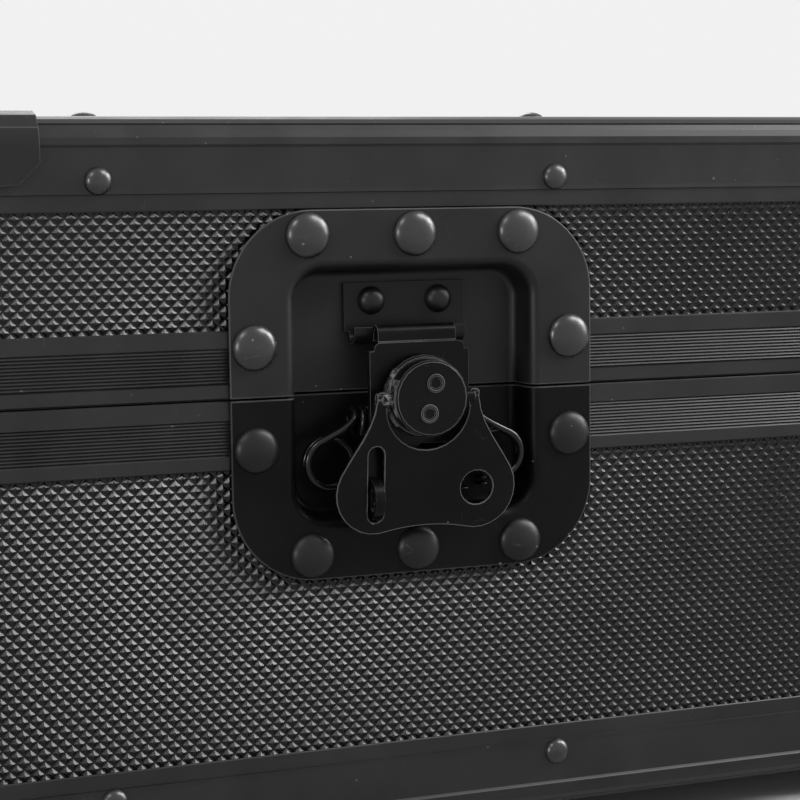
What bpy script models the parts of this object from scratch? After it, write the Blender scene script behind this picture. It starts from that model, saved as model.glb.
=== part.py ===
"""Flight case with a lift-up lid and two recessed butterfly twist latches.

Metres, +Z up, front towards -Y. The origin is on the floor, under the middle of the
case's own box. Pieces are modelled in small local frames and then placed.
"""

import math

import bmesh
import bpy
from mathutils import Matrix, Vector

# Case body
CASE_WIDTH = 0.540
CASE_DEPTH = 0.430
BASE_HEIGHT = 0.130
LID_HEIGHT = 0.0787
FOOT_HEIGHT = 0.012
PANEL_THICKNESS = 0.009
SEAT_GAP = 0.0003
PARTING_GAP = 0.0006
SMOOTH_BELOW_DEG = 33.0

# Edge angle with its bull nose
ANGLE_LEG = 0.0247
ANGLE_PROUD = 0.0015
ANGLE_LIP = 0.0049
ANGLE_LIP_PROUD = 0.0010
NOSE_RADIUS = 0.0081
NOSE_PROUD = 0.0020
NOSE_GROOVE_DEPTH = 0.0006
NOSE_GROOVE_DEG = 3.0
PANEL_CHAMFER = 0.0045
CORNER_ANGLE_INSET = 0.00015

# Tongue and groove extrusions at the parting line
COVER_PROUD = 0.0015
LID_COVER = 0.0198
BASE_COVER = 0.0205
LID_RIB_START = 0.0046
BASE_RIB_START = 0.0062
RIB_COUNT = 11
RIB_PITCH = 0.00098
RIB_HEIGHT = 0.0004
INNER_LEG = 0.015
INNER_LEG_THICKNESS = 0.0012
TONGUE_FROM_FACE = 0.0035
TONGUE_WIDTH = 0.0020
TONGUE_HEIGHT = 0.0036
GROOVE_CLEARANCE = 0.0007
GROOVE_DEPTH = 0.0045
GROOVE_ROOF = 0.0010
BASE_WEB = 0.0017
TONGUE_TAPER = 0.0003

# Latch dish, in two halves that part with the lid
LATCH_INSET = 0.155
DISH_WIDTH = 0.1135
DISH_HEIGHT = 0.1078
DISH_CORNER = 0.025
DISH_SHEET = 0.0012
DISH_PROUD = 0.0030
RECESS_WIDTH = 0.0800
RECESS_HEIGHT = 0.0790
RECESS_CORNER = 0.012
RECESS_DEPTH = 0.0107
RIM_BEND = 0.0028
FLOOR_BEND = 0.0020
WALL_DRAFT = 0.0011
DISH_RIVET_DIAMETER = 0.0135
DISH_RIVET_HEIGHT = 0.0040
DISH_RIVET_ROW_Z = 0.0466
DISH_RIVET_ROW_X = 0.0329
DISH_RIVET_SIDE_X = 0.0493
DISH_RIVET_SIDE_Z = 0.0148
CUTOUT_CLEARANCE = 0.0008

# Keeper on the upper dish half
KEEPER_WIDTH = 0.0382
KEEPER_TOP = 0.0322
KEEPER_SHEET = 0.0012
KEEPER_CURL_WIDTH = 0.0350
KEEPER_CURL_RADIUS = 0.0024
KEEPER_CURL_CENTRE_Z = 0.0172
KEEPER_LIP = 0.0020
KEEPER_RIVET_X = 0.0106
KEEPER_RIVET_Z = 0.0268
KEEPER_RIVET_DIAMETER = 0.0083
KEEPER_RIVET_HEIGHT = 0.0028

# Hook plate with its rolled tongue
HOOK_WIDTH = 0.0310
HOOK_NECK_WIDTH = 0.0282
HOOK_SHOULDER_Z = 0.0126
HOOK_TOP_Z = 0.0150
HOOK_BOTTOM_Z = -0.0150
HOOK_SHEET = 0.0015
HOOK_FRONT = 0.0059
HOOK_FLANGE_BACK = 0.0036
TONGUE_PLATE_WIDTH = 0.0244
TONGUE_PLATE_BOTTOM_Z = 0.0095
TONGUE_TOP_Z = 0.0200
TONGUE_ROLL_RADIUS = 0.0019
TONGUE_TIP_LENGTH = 0.0022

# Cam and its drum
CAM_Z = -0.0008
DRUM_RADIUS = 0.0112
DRUM_FRONT = 0.0160
DRUM_BACK = 0.0098
SKIRT_RADIUS = 0.0122
ECCENTRIC_RADIUS = 0.0070
ECCENTRICITY = 0.0030
SPINDLE_RADIUS = 0.0030
SPINDLE_HEAD_RADIUS = 0.0048
SPINDLE_HEAD = 0.0013
CAM_RIVET_RADIUS = 0.0026
CAM_RIVET_BORE = 0.0016
CAM_RIVET_OFFSET = 0.0045
CAM_RIVET_PROUD = 0.0004
CAM_RIVET_TURN_DEG = 13.0
TRUNNION_RADIUS = 0.0009
RUNNING_GAP = 0.0003

# Butterfly wing
WING_AXIS_DEPTH = 0.0124
WING_TILT_DEG = 5.0
WING_SHEET = 0.0016
WING_EAR_X = 0.0159
WING_CUT_RADIUS = 0.0129
WING_CUT_DROP = 0.0025
WING_LOBE_X = 0.0158
WING_LOBE_DROP = 0.0276
WING_LOBE_RADIUS = 0.0122
WING_WAIST_DROP = 0.0380
WING_LOBE_START_DEG = 28.0
WING_LOBE_END_DEG = -108.0
WING_HOLE_RADIUS = 0.0051
WING_SLOT_WIDTH = 0.0049
WING_SLOT_TOP_DROP = 0.0137
WING_SLOT_END_DROP = 0.0364
WING_KNUCKLE_RADIUS = 0.0019

# Lock plate with the padlock staple
LOCK_SHEET = 0.0012
LOCK_DISC_INSET = 0.0003
LOCK_ARM_WIDTH = 0.0090
STAPLE_THICKNESS = 0.0028
STAPLE_TOP_DROP = 0.0232
STAPLE_END_DROP = 0.0355
LOCK_ARM_END_DROP = 0.0345
STAPLE_FRONT = 0.0150
STAPLE_RIM = 0.0016
STAPLE_EYE_HALF_WIDTH = 0.0016
STAPLE_EYE_HALF_HEIGHT = 0.0034

# Swing link, its pin and the bracket that carries it
SWING_PIN_DEPTH = 0.0022
SWING_PIN_Z = -0.0087
SWING_PIN_RADIUS = 0.0018
SWING_PIN_LENGTH = 0.0406
LINK_WIDTH = 0.0220
LINK_TOP_Z = 0.0070
LINK_BOTTOM_Z = -0.0140
LINK_SHEET = 0.0015
LINK_FLANGE = 0.0012
BRACKET_SHEET = 0.0012
BRACKET_BOTTOM_Z = -0.0320
BRACKET_EAR_RADIUS = 0.0032

# Wire springs
SPRING_WIRE = 0.0020
SPRING_COIL_RADIUS = 0.0042
SPRING_PITCH = 0.00258
SPRING_TURNS = 2
SPRING_LEG_TOP_Z = -0.0010
SPRING_LOOP_X = 0.0266
SPRING_LOOP_Z = -0.0198
SPRING_LOOP_DEPTH = 0.0027
SPRING_LOOP_RADIUS = 0.0071
SPRING_LOOP_START_DEG = 68.0
SPRING_LOOP_TURNS = 1.2

# Side handles
HANDLE_DROP = 0.060
HANDLE_DISH_LENGTH = 0.142
HANDLE_DISH_HEIGHT = 0.076
HANDLE_DISH_CORNER = 0.014
HANDLE_RECESS_LENGTH = 0.112
HANDLE_RECESS_HEIGHT = 0.054
HANDLE_RECESS_CORNER = 0.010
HANDLE_RECESS_DEPTH = 0.015
HANDLE_RIVET_DIAMETER = 0.0100
HANDLE_RIVET_HEIGHT = 0.0030
HANDLE_WALL_ROOM = 0.0052
BAIL_DROP = 0.030
BAIL_ROD = 0.0070
BAIL_CORNER = 0.008
BAIL_AXIS_Z = 0.015
BAIL_AXIS_DEPTH = 0.0045
GRIP_DIAMETER = 0.0130
GRIP_END_ROOM = 0.010
BEARING_LENGTH = 0.0050

# Rear hinges
HINGE_INSET = 0.110
HINGE_WIDTH = 0.060
HINGE_LEAF = 0.034
HINGE_SHEET = 0.0012
KNUCKLE_RADIUS = 0.0036
HINGE_PIN_RADIUS = 0.0018
HINGE_RIVET_DIAMETER = 0.0060
HINGE_RIVET_HEIGHT = 0.0018
HINGE_RIVET_INSET = 0.008
MIDDLE_KNUCKLE = 0.0290
LID_STOP_DEG = 100.0
STOP_LUG_LENGTH = 0.0034
STOP_LUG_WIDTH = 0.012

# Ball corners, feet and foam
BALL_RADIUS = 0.0195
BALL_INSET = 0.0105
BALL_LEG = 0.046
BALL_LEG_SHEET = 0.0012
FOOT_RADIUS = 0.018
FOOT_TAPER = 0.002
FOOT_INSET = 0.062
FOOT_SCREW_RADIUS = 0.006
FOOT_SCREW_DEPTH = 0.005
FOAM_WALL = 0.018
FOAM_FLOOR = 0.020
LID_FOAM_THICKNESS = 0.025
FOAM_CLEARANCE = 0.0005
FOAM_TOP_DROP = 0.004

# Heights and planes that follow from the sizes above
BOTTOM_Z = FOOT_HEIGHT
PARTING_Z = BOTTOM_Z + BASE_HEIGHT
TOP_Z = PARTING_Z + LID_HEIGHT
HALF_WIDTH = CASE_WIDTH / 2
HALF_DEPTH = CASE_DEPTH / 2
INNER_FACE = PANEL_THICKNESS + SEAT_GAP + INNER_LEG_THICKNESS
PANEL_CORNER = NOSE_RADIUS - NOSE_PROUD
LATCH_SPACING = CASE_WIDTH - 2 * LATCH_INSET
HINGE_SPACING = CASE_WIDTH - 2 * HINGE_INSET
BAIL_SPAN = HANDLE_RECESS_LENGTH - 2 * (HANDLE_WALL_ROOM + BEARING_LENGTH + SEAT_GAP) - BAIL_ROD
GRIP_LENGTH = BAIL_SPAN - 2 * GRIP_END_ROOM
FLANGE_BACK = DISH_PROUD - DISH_SHEET
FLOOR_FRONT = RECESS_DEPTH - DISH_PROUD
FLOOR_BACK = FLOOR_FRONT + DISH_SHEET
HINGE_BACK = ANGLE_PROUD + SEAT_GAP
HINGE_AXIS_OUT = HINGE_BACK + KNUCKLE_RADIUS
STOP_FACE = KNUCKLE_RADIUS - HINGE_SHEET - SEAT_GAP
STOP_TIP = KNUCKLE_RADIUS + STOP_LUG_LENGTH
STOP_REACH = (HINGE_AXIS_OUT + STOP_TIP * math.sin(math.radians(LID_STOP_DEG))
              - STOP_FACE * math.cos(math.radians(LID_STOP_DEG)))
FRONT_REACH = DRUM_FRONT + CAM_RIVET_PROUD
CENTRE_Y = (FRONT_REACH - STOP_REACH) / 2
FRONT_Y = CENTRE_Y - HALF_DEPTH
REAR_Y = CENTRE_Y + HALF_DEPTH
HINGE_Y = REAR_Y + HINGE_AXIS_OUT
HANDLE_Z = PARTING_Z - HANDLE_DROP
UNIT_X, UNIT_Y, UNIT_Z = Vector((1, 0, 0)), Vector((0, 1, 0)), Vector((0, 0, 1))

# Base colour, roughness and metallic of each finish
FINISHES = {
    "pyramid_laminate": ((0.020, 0.020, 0.021), 0.45, 0.0),
    "plywood": ((0.45, 0.33, 0.20), 0.70, 0.0),
    "black_anodised": ((0.055, 0.055, 0.057), 0.42, 0.8),
    "black_powder_coat": ((0.030, 0.030, 0.031), 0.45, 0.2),
    "black_wire": ((0.060, 0.060, 0.062), 0.30, 0.9),
    "black_rubber": ((0.018, 0.018, 0.018), 0.75, 0.0),
    "grey_foam": ((0.050, 0.050, 0.053), 0.95, 0.0),
}


def clear_scene():
    for scene_object in list(bpy.data.objects):
        bpy.data.objects.remove(scene_object, do_unlink=True)


def finish(name):
    """The material of that name, made on first use."""
    material = bpy.data.materials.get(name)
    if material is None:
        colour, roughness, metallic = FINISHES[name]
        material = bpy.data.materials.new(name)
        material.use_nodes = True
        shader = material.node_tree.nodes["Principled BSDF"]
        shader.inputs["Base Color"].default_value = (*colour, 1.0)
        shader.inputs["Roughness"].default_value = roughness
        shader.inputs["Metallic"].default_value = metallic
        material.diffuse_color = (*colour, 1.0)
    return material


def solid(faces_of):
    """A mesh from a bmesh, with its faces turned outwards."""
    bmesh.ops.remove_doubles(faces_of, verts=faces_of.verts, dist=1e-6)
    bmesh.ops.recalc_face_normals(faces_of, faces=faces_of.faces)
    if faces_of.calc_volume(signed=True) < 0:
        bmesh.ops.reverse_faces(faces_of, faces=faces_of.faces)
    mesh = bpy.data.meshes.new("solid")
    faces_of.to_mesh(mesh)
    faces_of.free()
    return mesh


def place(name, mesh, material, location=(0, 0, 0), rotation=(0, 0, 0), parent=None):
    """One named node that shows the mesh at a place in the world."""
    node = bpy.data.objects.new(name, mesh)
    bpy.context.scene.collection.objects.link(node)
    mesh.shade_smooth()
    mesh.set_sharp_from_angle(angle=math.radians(SMOOTH_BELOW_DEG))
    mesh.materials.clear()
    mesh.materials.append(finish(material))
    node.location = location
    node.rotation_euler = rotation
    if parent is not None:
        node.parent = parent
        node.location = Vector(location) - parent.location
    return node


def axis_empty(name, location):
    """An empty on a joint's axis, which its moving pieces hang from."""
    marker = bpy.data.objects.new(name, None)
    marker.location = location
    bpy.context.scene.collection.objects.link(marker)
    return marker


def moved(mesh, offset):
    mesh.transform(Matrix.Translation(Vector(offset)))
    return mesh


def turned(mesh, degrees, axis, pivot=(0, 0, 0)):
    pivot = Vector(pivot)
    turn = Matrix.Rotation(math.radians(degrees), 4, axis)
    mesh.transform(Matrix.Translation(pivot) @ turn @ Matrix.Translation(-pivot))
    return mesh


def mirrored_x(mesh):
    """A copy mirrored left to right, with its faces still outwards."""
    copy = mesh.copy()
    copy.transform(Matrix.Scale(-1, 4, UNIT_X))
    copy.flip_normals()
    return copy


def combine(target, tools, operation):
    """Target after an exact Boolean with every tool, as one mesh."""
    base = bpy.data.objects.new("base_solid", target)
    bpy.context.scene.collection.objects.link(base)
    cutters = []
    for tool in tools:
        cutter = bpy.data.objects.new("tool_solid", tool)
        bpy.context.scene.collection.objects.link(cutter)
        cutter.hide_render = True
        cutter.display_type = "WIRE"
        cutters.append(cutter)
        modifier = base.modifiers.new("combine", "BOOLEAN")
        modifier.operation = operation
        modifier.solver = "EXACT"
        modifier.object = cutter
    bpy.context.view_layer.update()
    evaluated = base.evaluated_get(bpy.context.evaluated_depsgraph_get())
    result = bpy.data.meshes.new_from_object(evaluated)
    for leftover in [base, *cutters]:
        bpy.data.objects.remove(leftover, do_unlink=True)
    return result


def union(target, *tools):
    return combine(target, tools, "UNION")


def cut(target, *tools):
    return combine(target, tools, "DIFFERENCE")


def on_plane(axis, first, second, along):
    """A point from two flat coordinates and its height along the axis."""
    if axis == "X":
        return (along, first, second)
    if axis == "Y":
        return (first, along, second)
    return (first, second, along)


def prism(outline, axis, low, high):
    """A flat outline given depth from low to high along an axis."""
    shape = bmesh.new()
    ends = []
    for along in (low, high):
        ends.append([shape.verts.new(on_plane(axis, a, b, along)) for a, b in outline])
    count = len(outline)
    for i in range(count):
        j = (i + 1) % count
        shape.faces.new((ends[0][i], ends[0][j], ends[1][j], ends[1][i]))
    shape.faces.new(ends[0])
    shape.faces.new(ends[1])
    return solid(shape)


def block(x, y, z):
    """A plain box from three (low, high) pairs."""
    outline = [(x[0], y[0]), (x[1], y[0]), (x[1], y[1]), (x[0], y[1])]
    return prism(outline, "Z", z[0], z[1])


def loft(rings):
    """A closed skin over rings of points, with flat ends."""
    shape = bmesh.new()
    rows = [[shape.verts.new(point) for point in ring] for ring in rings]
    count = len(rows[0])
    for row, following in zip(rows, rows[1:]):
        for i in range(count):
            j = (i + 1) % count
            shape.faces.new((row[i], row[j], following[j], following[i]))
    shape.faces.new(rows[0])
    shape.faces.new(rows[-1])
    return solid(shape)


def swept_frame(profile, half_x, half_y, corner=0.0):
    """A profile of (out, height) points swept round a rectangle.

    The corners are mitred sharp, or cut at 45 degrees from a depth of corner inwards."""
    shape = bmesh.new()
    rows = []
    for sign_x, sign_y in ((1, 1), (-1, 1), (-1, -1), (1, -1)):
        ends = [(True, False), (False, True)] if corner else [(False, False)]
        if sign_x * sign_y > 0:
            ends.reverse()
        for cut_x, cut_y in ends:
            row = []
            for out, height in profile:
                inwards = min(out, -corner) if corner else out
                x = inwards if cut_x else out
                y = inwards if cut_y else out
                row.append(shape.verts.new((sign_x * (half_x + x), sign_y * (half_y + y), height)))
            rows.append(row)
    count = len(profile)
    for number, row in enumerate(rows):
        following = rows[(number + 1) % len(rows)]
        for i in range(count):
            j = (i + 1) % count
            shape.faces.new((row[i], row[j], following[j], following[i]))
    return solid(shape)


def arc(centre, radius, start_deg, end_deg, steps):
    """Points on an arc, ends included."""
    points = []
    for step in range(steps + 1):
        angle = math.radians(start_deg + (end_deg - start_deg) * step / steps)
        points.append((centre[0] + radius * math.cos(angle), centre[1] + radius * math.sin(angle)))
    return points


def rounded_rectangle(half_a, half_b, radius, steps=4):
    points = []
    for quarter, (sign_a, sign_b) in enumerate(((1, 1), (-1, 1), (-1, -1), (1, -1))):
        centre = (sign_a * (half_a - radius), sign_b * (half_b - radius))
        points += arc(centre, radius, 90 * quarter, 90 * quarter + 90, steps)
    return points


def bezier(start, start_handle, end_handle, end, steps):
    """Points between the ends of one cubic curve, both ends included."""
    points = []
    for step in range(steps + 1):
        t = step / steps
        weights = ((1 - t) ** 3, 3 * t * (1 - t) ** 2, 3 * t * t * (1 - t), t ** 3)
        knots = (start, start_handle, end_handle, end)
        points.append(tuple(sum(w * knot[k] for w, knot in zip(weights, knots)) for k in range(len(start))))
    return points


def strip(path, thickness):
    """The outline of sheet metal that follows a flat path."""
    points = [Vector(point) for point in path]
    left, right = [], []
    for i, point in enumerate(points):
        before = points[max(i - 1, 0)]
        after = points[min(i + 1, len(points) - 1)]
        along = (after - before).normalized()
        across = Vector((-along.y, along.x)) * thickness / 2
        left.append(tuple(point + across))
        right.append(tuple(point - across))
    return left + right[::-1]


def cylinder(radius, axis, low, high, centre=(0, 0), sides=24):
    outline = arc(centre, radius, 0, 360 - 360 / sides, sides - 1)
    return prism(outline, axis, low, high)


def lathe(profile, centre=(0, 0), sides=28):
    """A turned solid about a Y axis, from (radius, y) points, open neither end."""
    rings = []
    for radius, depth in profile:
        flat = arc(centre, radius, 0, 360 - 360 / sides, sides - 1)
        rings.append([(x, depth, z) for x, z in flat])
    return loft(rings)


def dome(centre, seat_y, diameter, height, sides=12, rings=2):
    """A domed rivet head on a face that looks towards -Y, sunk a little into it."""
    sink = 0.0006
    profile = [(diameter / 2, seat_y + sink), (diameter / 2, seat_y - height * 0.08)]
    for ring in range(1, rings):
        angle = math.radians(90 * ring / rings)
        profile.append((diameter / 2 * math.cos(angle), seat_y - height * (0.08 + 0.92 * math.sin(angle))))
    profile.append((diameter / 2 * 0.12, seat_y - height))
    return lathe(profile, centre, sides)


def half_of(mesh, plane_point, keep_direction):
    """The part of a closed mesh on one side of a plane, closed again."""
    shape = bmesh.new()
    shape.from_mesh(mesh)
    everything = list(shape.verts) + list(shape.edges) + list(shape.faces)
    bmesh.ops.bisect_plane(shape, geom=everything, dist=1e-7, plane_co=plane_point,
                           plane_no=keep_direction, clear_inner=True)
    rim = [edge for edge in shape.edges if edge.is_boundary]
    bmesh.ops.edgeloop_fill(shape, edges=rim)
    return solid(shape)


# Panels

def wall_panels(prefix, low, high, parent, dish_cutters, handle_cutters):
    """Front, rear and side walls between two heights."""
    side_half = HALF_DEPTH - PANEL_THICKNESS - SEAT_GAP
    for name, sign in (("front", -1), ("rear", 1)):
        outer = CENTRE_Y + sign * HALF_DEPTH
        inner = outer - sign * PANEL_THICKNESS
        shoulder = outer - sign * PANEL_CORNER
        narrow = HALF_WIDTH - PANEL_CORNER
        outline = [(-HALF_WIDTH, inner), (HALF_WIDTH, inner), (HALF_WIDTH, shoulder),
                   (narrow, outer), (-narrow, outer), (-HALF_WIDTH, shoulder)]
        wall = prism(outline, "Z", low, high)
        if name == "front":
            wall = cut(wall, *dish_cutters())
        settle(f"{prefix}_{name}_panel", wall, "pyramid_laminate", parent)
    for name, sign in (("left", -1), ("right", 1)):
        outer = sign * HALF_WIDTH
        inner = outer - sign * PANEL_THICKNESS
        wall = block((min(outer, inner), max(outer, inner)),
                     (CENTRE_Y - side_half, CENTRE_Y + side_half), (low, high))
        if handle_cutters:
            wall = cut(wall, handle_cutters(sign))
        settle(f"{prefix}_{name}_panel", wall, "pyramid_laminate", parent)


def settle(name, mesh, material, parent):
    """A node whose mesh is in world coordinates, hung from its joint's empty."""
    origin = parent.location if parent is not None else Vector((0, 0, 0))
    return place(name, moved(mesh, -origin), material, origin, parent=parent)


def dish_cutters():
    """The openings in a front wall behind both latch dishes."""
    half_x = RECESS_WIDTH / 2 + DISH_SHEET + CUTOUT_CLEARANCE
    half_z = RECESS_HEIGHT / 2 + DISH_SHEET + CUTOUT_CLEARANCE
    outline = rounded_rectangle(half_x, half_z, RECESS_CORNER + DISH_SHEET)
    cutters = []
    for sign in (-1, 1):
        opening = prism(outline, "Y", FRONT_Y - 0.01, FRONT_Y + PANEL_THICKNESS + 0.01)
        cutters.append(moved(opening, (sign * LATCH_SPACING / 2, 0, PARTING_Z)))
    return cutters


def handle_cutter(sign):
    """The opening in a side wall behind a handle dish."""
    half_y = HANDLE_RECESS_LENGTH / 2 + DISH_SHEET + CUTOUT_CLEARANCE
    half_z = HANDLE_RECESS_HEIGHT / 2 + DISH_SHEET + CUTOUT_CLEARANCE
    outline = rounded_rectangle(half_y, half_z, HANDLE_RECESS_CORNER + DISH_SHEET)
    opening = prism(outline, "X", -0.02, 0.02)
    return moved(opening, (sign * HALF_WIDTH, CENTRE_Y, HANDLE_Z))


def end_panel(face_z, facing):
    """The bottom or the top panel, with its outer edges and corners chamfered."""
    def ring(inset, height):
        x, y = HALF_WIDTH - inset, HALF_DEPTH - inset
        corner = PANEL_CORNER - inset * 0.4
        flat = [(x, y - corner), (x - corner, y), (-x + corner, y), (-x, y - corner),
                (-x, -y + corner), (-x + corner, -y), (x - corner, -y), (x, -y + corner)]
        return [(a, b + CENTRE_Y, face_z - facing * height) for a, b in flat]

    return loft([ring(0, PANEL_THICKNESS), ring(0, PANEL_CHAMFER), ring(PANEL_CHAMFER, 0)])


def make_panels(lid):
    settle("base_bottom_panel", end_panel(BOTTOM_Z, -1), "pyramid_laminate", None)
    settle("lid_top_panel", end_panel(TOP_Z, 1), "pyramid_laminate", lid)
    base_low = BOTTOM_Z + PANEL_THICKNESS + SEAT_GAP
    base_high = PARTING_Z - PARTING_GAP / 2 - BASE_WEB - SEAT_GAP
    wall_panels("base", base_low, base_high, None, dish_cutters, handle_cutter)
    lid_low = PARTING_Z + PARTING_GAP / 2 + GROOVE_DEPTH + GROOVE_ROOF + SEAT_GAP
    lid_high = TOP_Z - PANEL_THICKNESS - SEAT_GAP
    wall_panels("lid", lid_low, lid_high, lid, dish_cutters, None)


# Edge angles and the tongue and groove extrusions

def angle_profile(inset=0.0):
    """Half-wrapped angle section: (out from one face, out from the other), both legs."""
    centre = NOSE_PROUD - NOSE_RADIUS
    radius = NOSE_RADIUS - inset
    proud = ANGLE_PROUD - inset
    lip = ANGLE_LIP_PROUD - inset
    step = ANGLE_LEG - ANGLE_LIP
    inner = SEAT_GAP + inset
    leg = [
        (inner, -ANGLE_LEG),
        (lip - 0.0002, -ANGLE_LEG),
        (lip, -ANGLE_LEG + 0.0003),
        (lip, -step - 0.0002),
        (proud + 0.0001, -step),
        (proud, -step + 0.0012),
        (proud, centre - 0.0008),
        (proud + 0.0003, centre - 0.0003),
    ]
    side_arc = arc((centre, centre), radius, 0, 45 - NOSE_GROOVE_DEG, 3)
    valley = arc((centre, centre), radius - NOSE_GROOVE_DEPTH, 45, 45, 1)[:1]
    outline = leg + side_arc + valley
    mirrored = [(b, a) for a, b in reversed(leg + side_arc)]
    chamfer = 0.4 * SEAT_GAP - PANEL_CHAMFER
    return outline + mirrored + [(chamfer, inner), (inner, chamfer)]


def edge_frame(prefix, face_z, facing, parting_edge, parent):
    """Angles round the top or bottom edges, with the four upright corner angles fused on."""
    profile = [(out, facing * height) for out, height in angle_profile()]
    frame = moved(swept_frame(profile, HALF_WIDTH, HALF_DEPTH, NOSE_RADIUS - NOSE_PROUD), (0, CENTRE_Y, face_z))
    buried = 0.003
    far = face_z - facing * (ANGLE_LEG - buried)
    low, high = min(far, parting_edge), max(far, parting_edge)
    uprights = []
    for sign_x, sign_y in ((1, 1), (-1, 1), (-1, -1), (1, -1)):
        section = [(sign_x * (HALF_WIDTH + a), sign_y * (HALF_DEPTH + b) + CENTRE_Y)
                   for a, b in angle_profile(CORNER_ANGLE_INSET)]
        uprights.append(prism(section, "Z", low, high))
    frame = union(frame, *uprights)
    settle(f"{prefix}_edge_frame", frame, "black_anodised", parent)


def ribbed_face(start, facing):
    """The ribs on a cover face, as (out, height) points going away from the parting line."""
    points = []
    for rib in range(RIB_COUNT):
        foot = start + rib * RIB_PITCH
        points.append((COVER_PROUD - RIB_HEIGHT, facing * foot))
        points.append((COVER_PROUD, facing * (foot + RIB_PITCH * 0.5)))
    return points


def lid_extrusion_profile():
    edge = PARTING_GAP / 2
    web = edge + GROOVE_DEPTH + GROOVE_ROOF
    mouth = TONGUE_WIDTH / 2 + GROOVE_CLEARANCE
    roof = mouth - TONGUE_TAPER
    inner = PANEL_THICKNESS + SEAT_GAP
    face = [(COVER_PROUD - 0.0003, edge), (COVER_PROUD, edge + 0.0003),
            (COVER_PROUD, LID_RIB_START - 0.0003)]
    face += ribbed_face(LID_RIB_START, 1)
    face += [(COVER_PROUD, LID_RIB_START + RIB_COUNT * RIB_PITCH + 0.0002),
             (COVER_PROUD, LID_COVER - 0.0004), (COVER_PROUD - 0.0004, LID_COVER)]
    return face + [
        (SEAT_GAP, LID_COVER),
        (SEAT_GAP, web),
        (-inner, web),
        (-inner, INNER_LEG),
        (-INNER_FACE, INNER_LEG),
        (-INNER_FACE, edge),
        (-TONGUE_FROM_FACE - mouth, edge),
        (-TONGUE_FROM_FACE - roof, edge + GROOVE_DEPTH),
        (-TONGUE_FROM_FACE + roof, edge + GROOVE_DEPTH),
        (-TONGUE_FROM_FACE + mouth, edge),
    ]


def base_extrusion_profile():
    edge = -PARTING_GAP / 2
    web = edge - BASE_WEB
    root = TONGUE_WIDTH / 2
    tip = root - TONGUE_TAPER
    inner = PANEL_THICKNESS + SEAT_GAP
    face = [(COVER_PROUD - 0.0003, edge), (COVER_PROUD, edge - 0.0003),
            (COVER_PROUD, -BASE_RIB_START + 0.0003)]
    face += ribbed_face(BASE_RIB_START, -1)
    face += [(COVER_PROUD, -BASE_RIB_START - RIB_COUNT * RIB_PITCH - 0.0002),
             (COVER_PROUD, -BASE_COVER + 0.0004), (COVER_PROUD - 0.0004, -BASE_COVER)]
    return face + [
        (SEAT_GAP, -BASE_COVER),
        (SEAT_GAP, web),
        (-inner, web),
        (-inner, -INNER_LEG),
        (-INNER_FACE, -INNER_LEG),
        (-INNER_FACE, edge),
        (-TONGUE_FROM_FACE - root, edge),
        (-TONGUE_FROM_FACE - tip, TONGUE_HEIGHT),
        (-TONGUE_FROM_FACE + tip, TONGUE_HEIGHT),
        (-TONGUE_FROM_FACE + root, edge),
    ]


def location_extrusion(prefix, profile, parent):
    """The ribbed frame at the parting line, milled away in front where the dishes sit."""
    frame = moved(swept_frame(profile, HALF_WIDTH, HALF_DEPTH), (0, CENTRE_Y, PARTING_Z))
    half_x = RECESS_WIDTH / 2 + DISH_SHEET + CUTOUT_CLEARANCE
    pockets = []
    for sign in (-1, 1):
        middle = sign * LATCH_SPACING / 2
        pockets.append(block((middle - half_x, middle + half_x),
                             (FRONT_Y - 0.01, FRONT_Y + PANEL_THICKNESS + SEAT_GAP / 2),
                             (PARTING_Z - 0.04, PARTING_Z + 0.04)))
    settle(f"{prefix}_location_extrusion", cut(frame, *pockets), "black_anodised", parent)


# Latch pieces, in the latch's frame: y = 0 is the laminate, z = 0 the parting line

def stamped_dish(half_a, half_b, flange_corner, recess_a, recess_b, recess_corner, depth):
    """A pressed sheet dish in XZ with its flange in front, as one shell."""
    def wall(offset_from_front, bend, floor_bend):
        front = -DISH_PROUD + offset_from_front
        floor = front + depth
        rows = []
        for angle_deg in (0, 45, 84):
            angle = math.radians(angle_deg)
            rows.append((bend * math.sin(angle), front + bend * (1 - math.cos(angle))))
        foot = rows[-1][0] + WALL_DRAFT
        for angle_deg in (6, 90):
            angle = math.radians(angle_deg)
            rows.append((foot + floor_bend * (1 - math.cos(angle)),
                         floor - floor_bend * (1 - math.sin(angle))))
        return rows

    def ring(inset, depth_y, outset=0.0):
        corner = max(recess_corner + outset - inset, 0.001)
        flat = rounded_rectangle(recess_a + outset - inset, recess_b + outset - inset, corner)
        return [(x, depth_y, z) for x, z in flat]

    def flange_ring(depth_y, trim=0.0):
        flat = rounded_rectangle(half_a - trim, half_b - trim, flange_corner - trim)
        return [(x, depth_y, z) for x, z in flat]

    front_rows = [ring(inset, y) for inset, y in wall(0.0, RIM_BEND, FLOOR_BEND)]
    back_rows = [ring(inset, y, DISH_SHEET)
                 for inset, y in wall(DISH_SHEET, RIM_BEND, FLOOR_BEND)]
    edge = 0.0003
    rings = front_rows[::-1]
    rings += [flange_ring(-DISH_PROUD, edge), flange_ring(-DISH_PROUD + edge),
              flange_ring(-DISH_PROUD + DISH_SHEET)]
    rings += back_rows
    return loft(rings)


def latch_dish():
    return stamped_dish(DISH_WIDTH / 2, DISH_HEIGHT / 2, DISH_CORNER,
                        RECESS_WIDTH / 2, RECESS_HEIGHT / 2, RECESS_CORNER, RECESS_DEPTH)


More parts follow.
